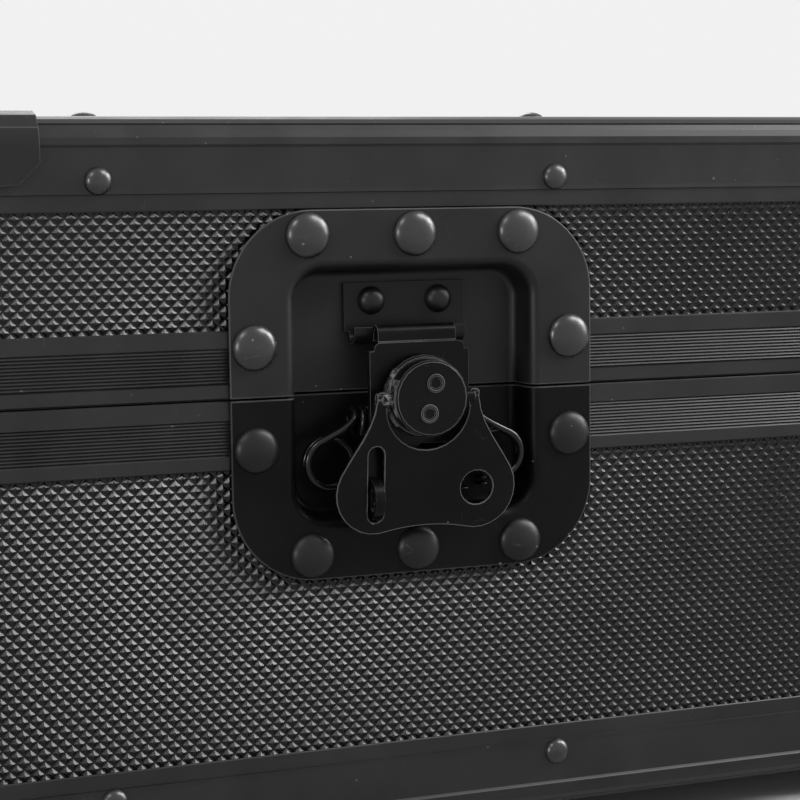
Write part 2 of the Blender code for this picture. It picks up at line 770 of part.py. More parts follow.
def dish_half(upper):
    """One half of the latch dish with its five rivets."""
    side = 1 if upper else -1
    shell = half_of(latch_dish(), (0, 0, side * PARTING_GAP / 2), (0, 0, side))
    places = [(0, DISH_RIVET_ROW_Z), (DISH_RIVET_ROW_X, DISH_RIVET_ROW_Z),
              (-DISH_RIVET_ROW_X, DISH_RIVET_ROW_Z), (DISH_RIVET_SIDE_X, DISH_RIVET_SIDE_Z),
              (-DISH_RIVET_SIDE_X, DISH_RIVET_SIDE_Z)]
    rivets = [dome((x, side * z), -DISH_PROUD, DISH_RIVET_DIAMETER, DISH_RIVET_HEIGHT)
              for x, z in places]
    return union(shell, *rivets)


def keeper():
    """Strike plate whose lower edge curls out and up, with two rivets."""
    back = FLOOR_FRONT - SEAT_GAP
    middle = back - KEEPER_SHEET / 2
    plate_foot = KEEPER_CURL_CENTRE_Z + 0.0006
    plate = block((-KEEPER_WIDTH / 2, KEEPER_WIDTH / 2), (back - KEEPER_SHEET, back),
                  (plate_foot, KEEPER_TOP))
    curl_centre = (middle - KEEPER_CURL_RADIUS, KEEPER_CURL_CENTRE_Z)
    path = [(middle, KEEPER_CURL_CENTRE_Z + 0.003)]
    path += arc(curl_centre, KEEPER_CURL_RADIUS, 0, -180, 8)
    path.append((middle - 2 * KEEPER_CURL_RADIUS, KEEPER_CURL_CENTRE_Z + KEEPER_LIP))
    curl = prism(strip(path, KEEPER_SHEET), "X", -KEEPER_CURL_WIDTH / 2, KEEPER_CURL_WIDTH / 2)
    rivets = [dome((sign * KEEPER_RIVET_X, KEEPER_RIVET_Z), back - KEEPER_SHEET,
                   KEEPER_RIVET_DIAMETER, KEEPER_RIVET_HEIGHT, 10, 2) for sign in (-1, 1)]
    return union(plate, curl, *rivets)


def hook_plate():
    """Front sheet with the cam's yoke slot, and the tongue sheet that rolls over the keeper."""
    half = HOOK_WIDTH / 2
    neck = HOOK_NECK_WIDTH / 2
    round_off = 0.002
    top_left = arc((-neck + round_off, HOOK_TOP_Z - round_off), round_off, 180, 90, 4)
    top_right = arc((neck - round_off, HOOK_TOP_Z - round_off), round_off, 90, 0, 4)
    outline = [(-half, HOOK_BOTTOM_Z), (-half, HOOK_SHOULDER_Z), (-neck, HOOK_SHOULDER_Z)]
    outline += top_left + top_right
    outline += [(neck, HOOK_SHOULDER_Z), (half, HOOK_SHOULDER_Z), (half, HOOK_BOTTOM_Z)]
    front = prism(outline, "Y", -HOOK_FRONT, -HOOK_FRONT + HOOK_SHEET)
    lost_motion = 0.22 * ECCENTRICITY
    slot_half_x = ECCENTRIC_RADIUS + ECCENTRICITY + RUNNING_GAP
    slot_half_z = ECCENTRIC_RADIUS + lost_motion + RUNNING_GAP
    slot = prism(rounded_rectangle(slot_half_x, slot_half_z, 0.006, 4), "Y",
                 -HOOK_FRONT - 0.002, -HOOK_FRONT + HOOK_SHEET + 0.002)
    slot = moved(slot, (0, 0, CAM_Z - ECCENTRICITY))
    flanges = [block(sorted((sign * half, sign * (half - HOOK_SHEET))), (-HOOK_FRONT + 0.0001, -HOOK_FLANGE_BACK),
                     (HOOK_BOTTOM_Z + 0.0001, HOOK_SHOULDER_Z - 0.0001)) for sign in (-1, 1)]
    overlap = 0.0001
    middle = -HOOK_FRONT + HOOK_SHEET * 1.5 - overlap
    roll_z = TONGUE_TOP_Z - TONGUE_ROLL_RADIUS - HOOK_SHEET / 2
    path = [(middle, TONGUE_PLATE_BOTTOM_Z), (middle, roll_z - 0.001)]
    path += arc((middle + TONGUE_ROLL_RADIUS, roll_z), TONGUE_ROLL_RADIUS, 180, 0, 9)
    path.append((middle + 2 * TONGUE_ROLL_RADIUS, roll_z - TONGUE_TIP_LENGTH))
    tongue = prism(strip(path, HOOK_SHEET), "X", -TONGUE_PLATE_WIDTH / 2, TONGUE_PLATE_WIDTH / 2)
    return union(cut(front, slot), tongue, *flanges)


def cam():
    """Drum, skirt, eccentric and spindle turned in one, with trunnions for the wing."""
    axis = (0, CAM_Z)
    skirt_back = -HOOK_FRONT - 2 * SEAT_GAP - LOCK_SHEET
    link_back = -HOOK_FRONT + HOOK_SHEET + SEAT_GAP + LINK_SHEET
    edge = 0.0006
    drum = lathe([(DRUM_RADIUS - edge, -DRUM_FRONT), (DRUM_RADIUS, -DRUM_FRONT + edge),
                  (DRUM_RADIUS, -DRUM_BACK), (SKIRT_RADIUS - edge, -DRUM_BACK),
                  (SKIRT_RADIUS, -DRUM_BACK + edge), (SKIRT_RADIUS, skirt_back)], axis, 24)
    eccentric = cylinder(ECCENTRIC_RADIUS, "Y", skirt_back - 0.001, -HOOK_FRONT + HOOK_SHEET,
                         (0, CAM_Z - ECCENTRICITY))
    spindle = cylinder(SPINDLE_RADIUS, "Y", skirt_back - 0.001, link_back + SEAT_GAP + 0.0005, axis, 12)
    head = cylinder(SPINDLE_HEAD_RADIUS, "Y", link_back + SEAT_GAP,
                    link_back + SEAT_GAP + SPINDLE_HEAD, axis, 12)
    knuckle_end = WING_EAR_X - 0.0003
    trunnions = cylinder(TRUNNION_RADIUS, "X", -knuckle_end, knuckle_end,
                         (-WING_AXIS_DEPTH, CAM_Z), 10)
    turn = math.radians(90 - CAM_RIVET_TURN_DEG)
    rivets, bores = [], []
    for sign in (-1, 1):
        seat = (sign * CAM_RIVET_OFFSET * math.cos(turn), CAM_Z + sign * CAM_RIVET_OFFSET * math.sin(turn))
        rivets.append(cylinder(CAM_RIVET_RADIUS, "Y", -DRUM_FRONT - CAM_RIVET_PROUD,
                               -DRUM_FRONT + 0.0005, seat, 12))
        bores.append(cylinder(CAM_RIVET_BORE, "Y", -DRUM_FRONT - 0.002, -DRUM_FRONT + 0.0008, seat, 8))
    return cut(union(drum, eccentric, spindle, head, trunnions, *rivets), *bores)


def wing_outline():
    """Half of the butterfly as (x, drop below its axis), from the ear down to the waist."""
    lobe = (WING_LOBE_X, -WING_LOBE_DROP)
    lobe_arc = arc(lobe, WING_LOBE_RADIUS, WING_LOBE_START_DEG, WING_LOBE_END_DEG, 10)
    lobe_top = lobe_arc[0]
    pull = 0.007
    slope = math.radians(WING_LOBE_START_DEG)
    side_handle = (lobe_top[0] - pull * math.sin(slope), lobe_top[1] + pull * math.cos(slope))
    side = bezier((WING_EAR_X, 0.0), (WING_EAR_X + 0.0003, -0.008), side_handle, lobe_top, 6)
    lobe_foot = lobe_arc[-1]
    foot = bezier(lobe_foot, (lobe_foot[0] - 0.004, lobe_foot[1] + 0.0008),
                  (0.004, -WING_WAIST_DROP), (0.0, -WING_WAIST_DROP), 4)
    inner_top = [(WING_CUT_RADIUS, 0.0)]
    inner = arc((0, -WING_CUT_DROP), WING_CUT_RADIUS, 0, -90, 7)
    return side + lobe_arc[1:] + foot[1:], inner_top + inner


def wing():
    """Folding butterfly with its two rolled knuckles, padlock slot and round hole."""
    outer, inner = wing_outline()
    right = inner[:-1][::-1]
    outline = outer[:-1]
    left_outer = [(-x, z) for x, z in outer][::-1]
    left_inner = [(-x, z) for x, z in inner[:-1]]
    points = outline + left_outer + left_inner + [(0, inner[-1][1])] + right
    back = -WING_AXIS_DEPTH + WING_SHEET / 2
    plate = prism([(x, CAM_Z + z) for x, z in points], "Y", back - WING_SHEET, back)
    hole = cylinder(WING_HOLE_RADIUS, "Y", back - 0.004, back + 0.004,
                    (WING_LOBE_X, CAM_Z - WING_LOBE_DROP), 18)
    slot_half = (WING_SLOT_END_DROP - WING_SLOT_TOP_DROP) / 2
    slot = prism(rounded_rectangle(WING_SLOT_WIDTH / 2, slot_half, WING_SLOT_WIDTH / 2 - 0.00005, 3),
                 "Y", back - 0.004, back + 0.004)
    slot = moved(slot, (-WING_LOBE_X, 0, CAM_Z - WING_SLOT_TOP_DROP - slot_half))
    plate = cut(plate, hole, slot)
    knuckles = [cylinder(WING_KNUCKLE_RADIUS, "X", *span, (-WING_AXIS_DEPTH, CAM_Z), 10)
                for span in ((-WING_EAR_X, -WING_CUT_RADIUS), (WING_CUT_RADIUS, WING_EAR_X))]
    bore = cylinder(TRUNNION_RADIUS + RUNNING_GAP, "X", -0.03, 0.03, (-WING_AXIS_DEPTH, CAM_Z), 10)
    shape = cut(union(plate, *knuckles), bore)
    return turned(shape, WING_TILT_DEG, "X", (0, -WING_AXIS_DEPTH, CAM_Z))


def lock_plate():
    """Stamped disc keyed on the eccentric, behind the skirt, whose arm carries the padlock staple."""
    back = -HOOK_FRONT - SEAT_GAP
    front = back - LOCK_SHEET
    outer = SKIRT_RADIUS - LOCK_DISC_INSET
    disc = cylinder(outer, "Y", front, back, (0, CAM_Z), 24)
    arm_low = CAM_Z - LOCK_ARM_END_DROP
    arm_top = CAM_Z - STAPLE_TOP_DROP
    inner_x = -WING_LOBE_X + LOCK_ARM_WIDTH / 2
    outer_x = -WING_LOBE_X - LOCK_ARM_WIDTH / 2
    arm_outline = [
        (0.003, CAM_Z - outer * 0.93), (inner_x, arm_top), (inner_x, arm_low + 0.002),
        (inner_x - 0.002, arm_low), (outer_x + 0.0029, arm_low), (outer_x, arm_low + 0.006),
        (outer_x, arm_top), (-outer * 0.93, CAM_Z - 0.003),
    ]
    arm = prism(arm_outline, "Y", front + 0.00005, back - 0.00005)
    key = cylinder(ECCENTRIC_RADIUS + SEAT_GAP, "Y", front - 0.002, back + 0.002,
                   (0, CAM_Z - ECCENTRICITY), 24)
    top, end = CAM_Z - STAPLE_TOP_DROP, CAM_Z - STAPLE_END_DROP
    nose = (top - end) / 2
    middle = (top + end) / 2
    foot = arm_low + 0.0004
    staple_outline = [(front + 0.0006, foot), (front + 0.0006, top - 0.0004)]
    staple_outline += arc((-STAPLE_FRONT + nose, middle), nose, 90, 270, 10)
    staple_outline.append((front - 0.0003, foot))
    staple = prism(staple_outline, "X", -WING_LOBE_X - STAPLE_THICKNESS / 2,
                   -WING_LOBE_X + STAPLE_THICKNESS / 2)
    eye = prism(rounded_rectangle(STAPLE_EYE_HALF_WIDTH, STAPLE_EYE_HALF_HEIGHT,
                                  STAPLE_EYE_HALF_WIDTH - 0.00005, 3), "X", -0.004, 0.004)
    eye_y = -STAPLE_FRONT + STAPLE_RIM + STAPLE_EYE_HALF_WIDTH
    return union(cut(union(disc, arm), key), cut(staple, moved(eye, (-WING_LOBE_X, eye_y, middle))))


def swing_link():
    """Channel that carries the cam's spindle and swings on its pin."""
    front = -HOOK_FRONT + HOOK_SHEET + SEAT_GAP
    half = LINK_WIDTH / 2
    face = block((-half, half), (front, front + LINK_SHEET), (LINK_BOTTOM_Z, LINK_TOP_Z))
    hole = cylinder(SPINDLE_RADIUS + RUNNING_GAP, "Y", front - 0.001, front + 0.004, (0, CAM_Z), 16)
    flanges = []
    for sign in (-1, 1):
        outer, inner = sign * half, sign * (half - LINK_FLANGE)
        section = [(front + 0.0002, LINK_BOTTOM_Z + 0.0002), (front + 0.0002, SWING_PIN_Z + 0.006)]
        section += arc((SWING_PIN_DEPTH, SWING_PIN_Z), BRACKET_EAR_RADIUS, 60, -90, 6)
        flanges.append(prism(section, "X", min(outer, inner), max(outer, inner)))
    pin = cylinder(SWING_PIN_RADIUS, "X", -SWING_PIN_LENGTH / 2, SWING_PIN_LENGTH / 2,
                   (SWING_PIN_DEPTH, SWING_PIN_Z), 14)
    return union(cut(face, hole), *flanges, pin)


def latch_bracket():
    """Plate on the dish floor with two ears for the swing pin."""
    back = FLOOR_FRONT - SEAT_GAP
    inner = LINK_WIDTH / 2 + SEAT_GAP
    outer = inner + BRACKET_SHEET
    plate = block((-outer, outer), (back - BRACKET_SHEET, back), (BRACKET_BOTTOM_Z, SWING_PIN_Z + 0.004))
    ears = []
    for sign in (-1, 1):
        section = [(back - 0.0002, SWING_PIN_Z - 0.006), (back - 0.0002, SWING_PIN_Z + 0.0038)]
        section += arc((SWING_PIN_DEPTH, SWING_PIN_Z), BRACKET_EAR_RADIUS, 90, 270, 8)
        ears.append(prism(section, "X", *sorted((sign * inner, sign * outer))))
    bore = cylinder(SWING_PIN_RADIUS + RUNNING_GAP, "X", -0.02, 0.02, (SWING_PIN_DEPTH, SWING_PIN_Z), 14)
    rivets = [dome((sign * 0.0065, BRACKET_BOTTOM_Z + 0.006), back - BRACKET_SHEET, 0.0070, 0.0020, 8, 2)
              for sign in (-1, 1)]
    return union(cut(union(plate, *ears), bore), *rivets)


def spring_path():
    """Right-hand spring's centre line: leg, coil on the pin, then the loop beside the wing."""
    steps = 10
    start_x = LINK_WIDTH / 2 + 2 * SEAT_GAP + BRACKET_SHEET + SPRING_WIRE / 2
    coil_front = SWING_PIN_DEPTH - SPRING_COIL_RADIUS
    leg_length = SPRING_LEG_TOP_Z - SWING_PIN_Z
    path = [(start_x, coil_front, SPRING_LEG_TOP_Z - leg_length * step / 3) for step in range(3)]
    for step in range(steps * SPRING_TURNS):
        angle = 2 * math.pi * step / steps
        path.append((start_x + SPRING_PITCH * step / steps,
                     SWING_PIN_DEPTH - SPRING_COIL_RADIUS * math.cos(angle),
                     SWING_PIN_Z - SPRING_COIL_RADIUS * math.sin(angle)))
    loop = []
    for step in range(int(steps * SPRING_LOOP_TURNS) + 1):
        angle = math.radians(SPRING_LOOP_START_DEG - 360 * step / steps)
        loop.append((SPRING_LOOP_X + SPRING_LOOP_RADIUS * math.cos(angle),
                     -SPRING_LOOP_DEPTH + SPRING_PITCH * step / steps,
                     SPRING_LOOP_Z + SPRING_LOOP_RADIUS * math.sin(angle)))
    leaving, arriving = Vector(path[-1]), Vector(loop[0])
    along_coil = (leaving - Vector(path[-2])).normalized()
    tangent = math.radians(SPRING_LOOP_START_DEG - 90)
    along_loop = Vector((math.cos(tangent), 0, math.sin(tangent)))
    lead = (arriving - leaving).length / 3
    link = bezier(tuple(leaving), tuple(leaving + along_coil * lead),
                  tuple(arriving - along_loop * lead), tuple(arriving), 5)
    return path + link[1:-1] + loop


def least_gap(path, wire, apart=8):
    """Smallest clear distance between turns of a wire, measured on its points."""
    points = [Vector(point) for point in path]
    gaps = [(points[i] - points[j]).length - wire
            for i in range(len(points)) for j in range(i + apart, len(points))]
    return min(gaps)


def wire_spring(side):
    """One spring as a single unbroken tube. side is 1 on the right, -1 on the left."""
    path = spring_path()
    curve = bpy.data.curves.new("spring_wire", "CURVE")
    curve.dimensions = "3D"
    curve.bevel_depth = SPRING_WIRE / 2
    curve.bevel_resolution = 1
    curve.use_fill_caps = True
    line = curve.splines.new("POLY")
    line.points.add(len(path) - 1)
    for point, place_at in zip(line.points, path):
        point.co = (*place_at, 1.0)
    carrier = bpy.data.objects.new("spring_wire", curve)
    bpy.context.scene.collection.objects.link(carrier)
    bpy.context.view_layer.update()
    evaluated = carrier.evaluated_get(bpy.context.evaluated_depsgraph_get())
    tube = bpy.data.meshes.new_from_object(evaluated)
    bpy.data.objects.remove(carrier, do_unlink=True)
    bpy.data.curves.remove(curve)
    shape = bmesh.new()
    shape.from_mesh(tube)
    mesh = solid(shape)
    return mesh if side > 0 else mirrored_x(mesh)


def make_latches(lid):
    """Both latches, which share their meshes."""
    swing_axis = Vector((0, SWING_PIN_DEPTH, SWING_PIN_Z))
    cam_axis = Vector((0, -HOOK_FRONT, CAM_Z))
    wing_axis = Vector((0, -WING_AXIS_DEPTH, CAM_Z))
    still = Vector((0, 0, 0))
    pieces = {
        "dish_upper": (dish_half(True), "black_powder_coat", still),
        "keeper": (keeper(), "black_powder_coat", still),
        "dish_lower": (dish_half(False), "black_powder_coat", still),
        "latch_bracket": (latch_bracket(), "black_powder_coat", still),
        "spring_inner": (wire_spring(-1), "black_wire", still),
        "spring_outer": (wire_spring(1), "black_wire", still),
        "swing_link": (swing_link(), "black_powder_coat", swing_axis),
        "hook_plate": (hook_plate(), "black_powder_coat", cam_axis),
        "cam": (cam(), "black_powder_coat", cam_axis),
        "lock_plate": (lock_plate(), "black_powder_coat", cam_axis),
        "wing": (wing(), "black_powder_coat", wing_axis),
    }
    for mesh, _, pivot in pieces.values():
        moved(mesh, -pivot)
    print("least gap between the turns of a latch spring, mm:",
          round(least_gap(spring_path(), SPRING_WIRE) * 1000, 2))
    for side, sign in (("left", -1), ("right", 1)):
        seat = Vector((sign * LATCH_SPACING / 2, FRONT_Y, PARTING_Z))
        for piece, (mesh, material, pivot) in pieces.items():
            carrier = lid if piece in ("dish_upper", "keeper") else None
            place(f"{side}_{piece}", mesh, material, seat + pivot, parent=carrier)


# Side handles, in a frame whose -Y looks out of the case

def handle_dish():
    shell = stamped_dish(HANDLE_DISH_LENGTH / 2, HANDLE_DISH_HEIGHT / 2, HANDLE_DISH_CORNER,
                         HANDLE_RECESS_LENGTH / 2, HANDLE_RECESS_HEIGHT / 2,
                         HANDLE_RECESS_CORNER, HANDLE_RECESS_DEPTH)
    floor = HANDLE_RECESS_DEPTH - DISH_PROUD
    bearings = []
    for sign in (-1, 1):
        near = BAIL_SPAN / 2 + BAIL_ROD / 2 + SEAT_GAP
        section = [(floor + 0.0006, BAIL_AXIS_Z - 0.007), (floor + 0.0006, BAIL_AXIS_Z + 0.007)]
        section += arc((BAIL_AXIS_DEPTH, BAIL_AXIS_Z), BAIL_ROD / 2 + 0.0022, 90, 270, 5)
        bearings.append(prism(section, "X", *sorted((sign * near, sign * (near + BEARING_LENGTH)))))
    bore_end = BAIL_SPAN / 2 + BAIL_ROD / 2 + SEAT_GAP + BEARING_LENGTH + 0.0002
    bore = cylinder(BAIL_ROD / 2 + RUNNING_GAP, "X", -bore_end, bore_end, (BAIL_AXIS_DEPTH, BAIL_AXIS_Z), 12)
    rivet_x = (HANDLE_DISH_LENGTH + HANDLE_RECESS_LENGTH) / 4
    rivet_z = (HANDLE_DISH_HEIGHT + HANDLE_RECESS_HEIGHT) / 4
    places = [(sx * rivet_x, sz * (rivet_z - 0.006)) for sx in (-1, 1) for sz in (-1, 1)]
    places += [(sx * 0.030, sz * rivet_z) for sx in (-1, 1) for sz in (-1, 1)]
    rivets = [dome(spot, -DISH_PROUD, HANDLE_RIVET_DIAMETER, HANDLE_RIVET_HEIGHT, 8, 2) for spot in places]
    return union(cut(union(shell, *bearings), bore), *rivets)


def tube_along(path, radius, sides=8):
    """A round rod along a path in one XZ plane, from rings square to the path."""
    rings = []
    for i, point in enumerate(path):
        before = Vector(path[max(i - 1, 0)])
        after = Vector(path[min(i + 1, len(path) - 1)])
        along = (after - before).normalized()
        across = UNIT_Y.cross(along).normalized()
        ring = []
        for side in range(sides):
            angle = 2 * math.pi * side / sides
            ring.append(Vector(point) + radius * (math.cos(angle) * across + math.sin(angle) * UNIT_Y))
        rings.append(ring)
    return loft(rings)


def handle_bail():
    """Bent rod: two stub ends in the bearings, two legs and the bar that the grip covers."""
    half = BAIL_SPAN / 2
    end = half + BAIL_ROD / 2 + SEAT_GAP + BEARING_LENGTH - 0.0005
    bottom = BAIL_AXIS_Z - BAIL_DROP
    flat = [(-end, BAIL_AXIS_Z), (-half - 0.003, BAIL_AXIS_Z)]
    flat += arc((-half - 0.003, BAIL_AXIS_Z - 0.003), 0.003, 90, 0, 3)[1:]
    flat += arc((-half + BAIL_CORNER, bottom + BAIL_CORNER), BAIL_CORNER, 180, 270, 5)
    right = [(-x, z) for x, z in flat][::-1]
    path = [(x, BAIL_AXIS_DEPTH, z) for x, z in flat + right]
    return tube_along(path, BAIL_ROD / 2)


def handle_grip():
    """Rubber sleeve with finger swells, open at both ends for the rod."""
    bottom = BAIL_AXIS_Z - BAIL_DROP
    stations = 8
    outer, inner = [], []
    for station in range(stations + 1):
        share = station / stations
        x = -GRIP_LENGTH / 2 + GRIP_LENGTH * share
        swell = 0.0006 * math.cos(8 * math.pi * share)
        end_round = 0.0012 if station in (0, stations) else 0.0
        outer.append((x, GRIP_DIAMETER / 2 - 0.0006 + swell - end_round))
    bore = BAIL_ROD / 2 + RUNNING_GAP
    inner = [(outer[-1][0], bore), (outer[0][0], bore)]
    shape = bmesh.new()
    sides = 12
    rows = []
    for x, radius in outer + inner:
        rows.append([shape.verts.new((x, BAIL_AXIS_DEPTH + radius * math.cos(2 * math.pi * s / sides),
                                      bottom + radius * math.sin(2 * math.pi * s / sides)))
                     for s in range(sides)])
    for i in range(len(rows)):
        row, following = rows[i], rows[(i + 1) % len(rows)]
        for s in range(sides):
            t = (s + 1) % sides
            shape.faces.new((row[s], row[t], following[t], following[s]))
    return solid(shape)


def make_handles():
    pivot = Vector((0, BAIL_AXIS_DEPTH, BAIL_AXIS_Z))
    dish = handle_dish()
    bail = moved(handle_bail(), -pivot)
    grip = moved(handle_grip(), -pivot)
    for side, sign in (("left", -1), ("right", 1)):
        facing = (0, 0, sign * math.pi / 2)
        seat = Vector((sign * HALF_WIDTH, CENTRE_Y, HANDLE_Z))
        axis_at = seat + Matrix.Rotation(sign * math.pi / 2, 3, "Z") @ pivot
        place(f"{side}_handle_dish", dish, "black_powder_coat", seat, facing)
        place(f"{side}_handle_bail", bail, "black_powder_coat", axis_at, facing)
        place(f"{side}_handle_grip", grip, "black_rubber", axis_at, facing)


# Rear hinges, in a frame on the pin's axis, +Y out of the case

def hinge_leaf(upper):
    """A leaf with its knuckles. The lower one carries the pin, the upper one the stop lug."""
    side = 1 if upper else -1
    leaf_back = HINGE_BACK - HINGE_AXIS_OUT
    clear = KNUCKLE_RADIUS + SEAT_GAP
    half = HINGE_WIDTH / 2
    middle = MIDDLE_KNUCKLE / 2
    leaf = block((-half, half), (leaf_back, leaf_back + HINGE_SHEET), sorted((side * clear, side * HINGE_LEAF)))
    spans = [(-middle, middle)] if upper else [(-half, -middle - SEAT_GAP), (middle + SEAT_GAP, half)]
    pieces = []
    for low, high in spans:
        pieces.append(cylinder(KNUCKLE_RADIUS, "X", low, high, (0, 0), 14))
        pieces.append(block((low, high), (leaf_back + 0.00005, leaf_back + HINGE_SHEET),
                            sorted((side * 0.0006, side * (clear + 0.002)))))
    for x in (-half + HINGE_RIVET_INSET, half - HINGE_RIVET_INSET):
        spot = (x, side * (HINGE_LEAF - HINGE_RIVET_INSET))
        rivet = dome(spot, -leaf_back - HINGE_SHEET, HINGE_RIVET_DIAMETER, HINGE_RIVET_HEIGHT, 8)
        pieces.append(turned(rivet, 180, "Z"))
    bore = cylinder(HINGE_PIN_RADIUS + RUNNING_GAP, "X", -half - 0.01, half + 0.01, (0, 0), 12)
    if upper:
        lug = block((-STOP_LUG_WIDTH / 2, STOP_LUG_WIDTH / 2), (-STOP_FACE, -STOP_FACE + HINGE_SHEET),
                    (-STOP_TIP, -KNUCKLE_RADIUS + 0.0016))
        lug = turned(lug, LID_STOP_DEG, "X")
        return cut(union(leaf, *pieces, lug), bore)
    pin = cylinder(HINGE_PIN_RADIUS, "X", -half, half, (0, 0), 10)
    return union(leaf, *pieces, pin)


def make_hinges(lid):
    upper, lower = hinge_leaf(True), hinge_leaf(False)
    for side, sign in (("left", -1), ("right", 1)):
        seat = Vector((sign * HINGE_SPACING / 2, HINGE_Y, PARTING_Z))
        place(f"{side}_hinge_lid_leaf", upper, "black_powder_coat", seat, parent=lid)
        place(f"{side}_hinge_base_leaf", lower, "black_powder_coat", seat)


# Ball corners, feet and foam

def rounded_corner(proud, far, steps):
    """A box corner at the origin that stands proud of the panels, its edges as round as the nose."""
    centre = NOSE_PROUD - NOSE_RADIUS
    outline = [(-far, -far), (proud, -far)] + arc((centre, centre), proud - centre, 0, 90, steps)
    outline.append((-far, proud))
    first, *others = [prism(outline, axis, -far - 0.001 * number, proud + 0.001)
                      for number, axis in enumerate("XYZ")]
    return combine(first, others, "INTERSECT")


def ball_corner():
    """Stamped corner cap for the corner at +x, +y, +z of a box whose corner is the origin."""
    inside = NOSE_PROUD + SEAT_GAP
    outside = inside + BALL_LEG_SHEET
    beyond = outside + 0.002
    long, shoulder, waist = -BALL_LEG, -BALL_LEG * 0.37, -BALL_LEG * 0.5
    outline = [
        (beyond, beyond), (beyond, long), (shoulder + 0.006, long),
        (shoulder, long + 0.006), (shoulder - 0.001, waist - 0.003), (waist - 0.003, shoulder - 0.001),
        (long + 0.006, shoulder), (long, shoulder + 0.006), (long, beyond),
    ]
    wrap = NOSE_PROUD - NOSE_RADIUS - 0.001
    legs = [prism(outline, axis, wrap - 0.0003 * number, beyond + 0.0003 * number)
            for number, axis in enumerate("XYZ")]
    sheet = combine(rounded_corner(outside, 0.08, 3), [union(*legs)], "INTERSECT")
    ball = bmesh.new()
    bmesh.ops.create_uvsphere(ball, u_segments=12, v_segments=8, radius=BALL_RADIUS,
                              matrix=Matrix.Translation((-BALL_INSET,) * 3))
    return cut(union(sheet, solid(ball)), rounded_corner(inside, 0.1, 3))


def make_corners(lid):
    cap = ball_corner()
    quarter_turns = {(1, 1): 0, (-1, 1): 1, (-1, -1): 2, (1, -1): 3}
    names = {(1, 1): "rear_right", (-1, 1): "rear_left", (-1, -1): "front_left", (1, -1): "front_right"}
    for (sign_x, sign_y), turns in quarter_turns.items():
        name = names[(sign_x, sign_y)]
        x, y = sign_x * HALF_WIDTH, CENTRE_Y + sign_y * HALF_DEPTH
        place(f"lid_corner_{name}", cap, "black_powder_coat", (x, y, TOP_Z),
              (0, 0, turns * math.pi / 2), parent=lid)
        turned_over = (math.pi, 0, (turns + 1) * math.pi / 2)
        place(f"base_corner_{name}", cap, "black_powder_coat", (x, y, BOTTOM_Z), turned_over)


def make_feet():
    profile = [(FOOT_SCREW_RADIUS, FOOT_SCREW_DEPTH), (FOOT_SCREW_RADIUS, 0.0),
               (FOOT_RADIUS - FOOT_TAPER - 0.001, 0.0), (FOOT_RADIUS - FOOT_TAPER, 0.001),
               (FOOT_RADIUS, FOOT_HEIGHT - SEAT_GAP)]
    foot = lathe(profile, (0, 0), 16)
    foot = turned(foot, 90, "X")
    for name, sign_x, sign_y in (("front_left", -1, -1), ("front_right", 1, -1),
                                 ("rear_left", -1, 1), ("rear_right", 1, 1)):
        spot = (sign_x * (HALF_WIDTH - FOOT_INSET), CENTRE_Y + sign_y * (HALF_DEPTH - FOOT_INSET), 0)
        place(f"foot_{name}", foot, "black_rubber", spot)


def make_foam(lid):
    """Foam tray in the base, with pockets behind the handle dishes, and a pad in the lid."""
    outer_x = HALF_WIDTH - INNER_FACE - FOAM_CLEARANCE
    outer_y = HALF_DEPTH - INNER_FACE - FOAM_CLEARANCE
    low = BOTTOM_Z + PANEL_THICKNESS + SEAT_GAP
    high = PARTING_Z - FOAM_TOP_DROP
    corner = 0.012
    tray = prism(rounded_rectangle(outer_x, outer_y, 0.003, 2), "Z", low, high)
    hollow = prism(rounded_rectangle(outer_x - FOAM_WALL, outer_y - FOAM_WALL, corner, 5), "Z",
                   low + FOAM_FLOOR, high + 0.02)
    reach = HANDLE_RECESS_DEPTH - DISH_PROUD + DISH_SHEET + FOAM_CLEARANCE
    pocket_y = HANDLE_RECESS_LENGTH / 2 + 0.003
    pocket_z = HANDLE_RECESS_HEIGHT / 2 + 0.003
    pockets = []
    for sign in (-1, 1):
        pockets.append(block(sorted((sign * (HALF_WIDTH - reach), sign * (HALF_WIDTH + 0.01))),
                             (-pocket_y, pocket_y), (HANDLE_Z - pocket_z, HANDLE_Z + pocket_z)))
    tray = moved(cut(tray, hollow, *pockets), (0, CENTRE_Y, 0))
    settle("base_foam", tray, "grey_foam", None)
    pad_top = TOP_Z - PANEL_THICKNESS - SEAT_GAP
    pad = prism(rounded_rectangle(outer_x, outer_y, 0.003, 2), "Z", pad_top - LID_FOAM_THICKNESS, pad_top)
    settle("lid_foam", moved(pad, (0, CENTRE_Y, 0)), "grey_foam", lid)


def build():
    clear_scene()
    lid = axis_empty("lid_hinge_axis", (0, HINGE_Y, PARTING_Z))
    make_panels(lid)
    parting_lid = PARTING_Z + LID_COVER + SEAT_GAP
    parting_base = PARTING_Z - BASE_COVER - SEAT_GAP
    edge_frame("lid", TOP_Z, 1, parting_lid, lid)
    edge_frame("base", BOTTOM_Z, -1, parting_base, None)
    location_extrusion("lid", lid_extrusion_profile(), lid)
    location_extrusion("base", base_extrusion_profile(), None)
    make_latches(lid)
    make_handles()
    make_hinges(lid)
    make_corners(lid)
    make_feet()
    make_foam(lid)


build()
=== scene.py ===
# %% [markdown]
# # A black flight case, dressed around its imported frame
# The frame brings every solid of the case at its real place and size. This
# script gives each of them its looks: the embossed laminate, the pressed latch
# dishes, wire springs, rubber, foam and coated steel.

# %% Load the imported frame
import math

import bmesh
import bpy
from mathutils import Matrix, Vector


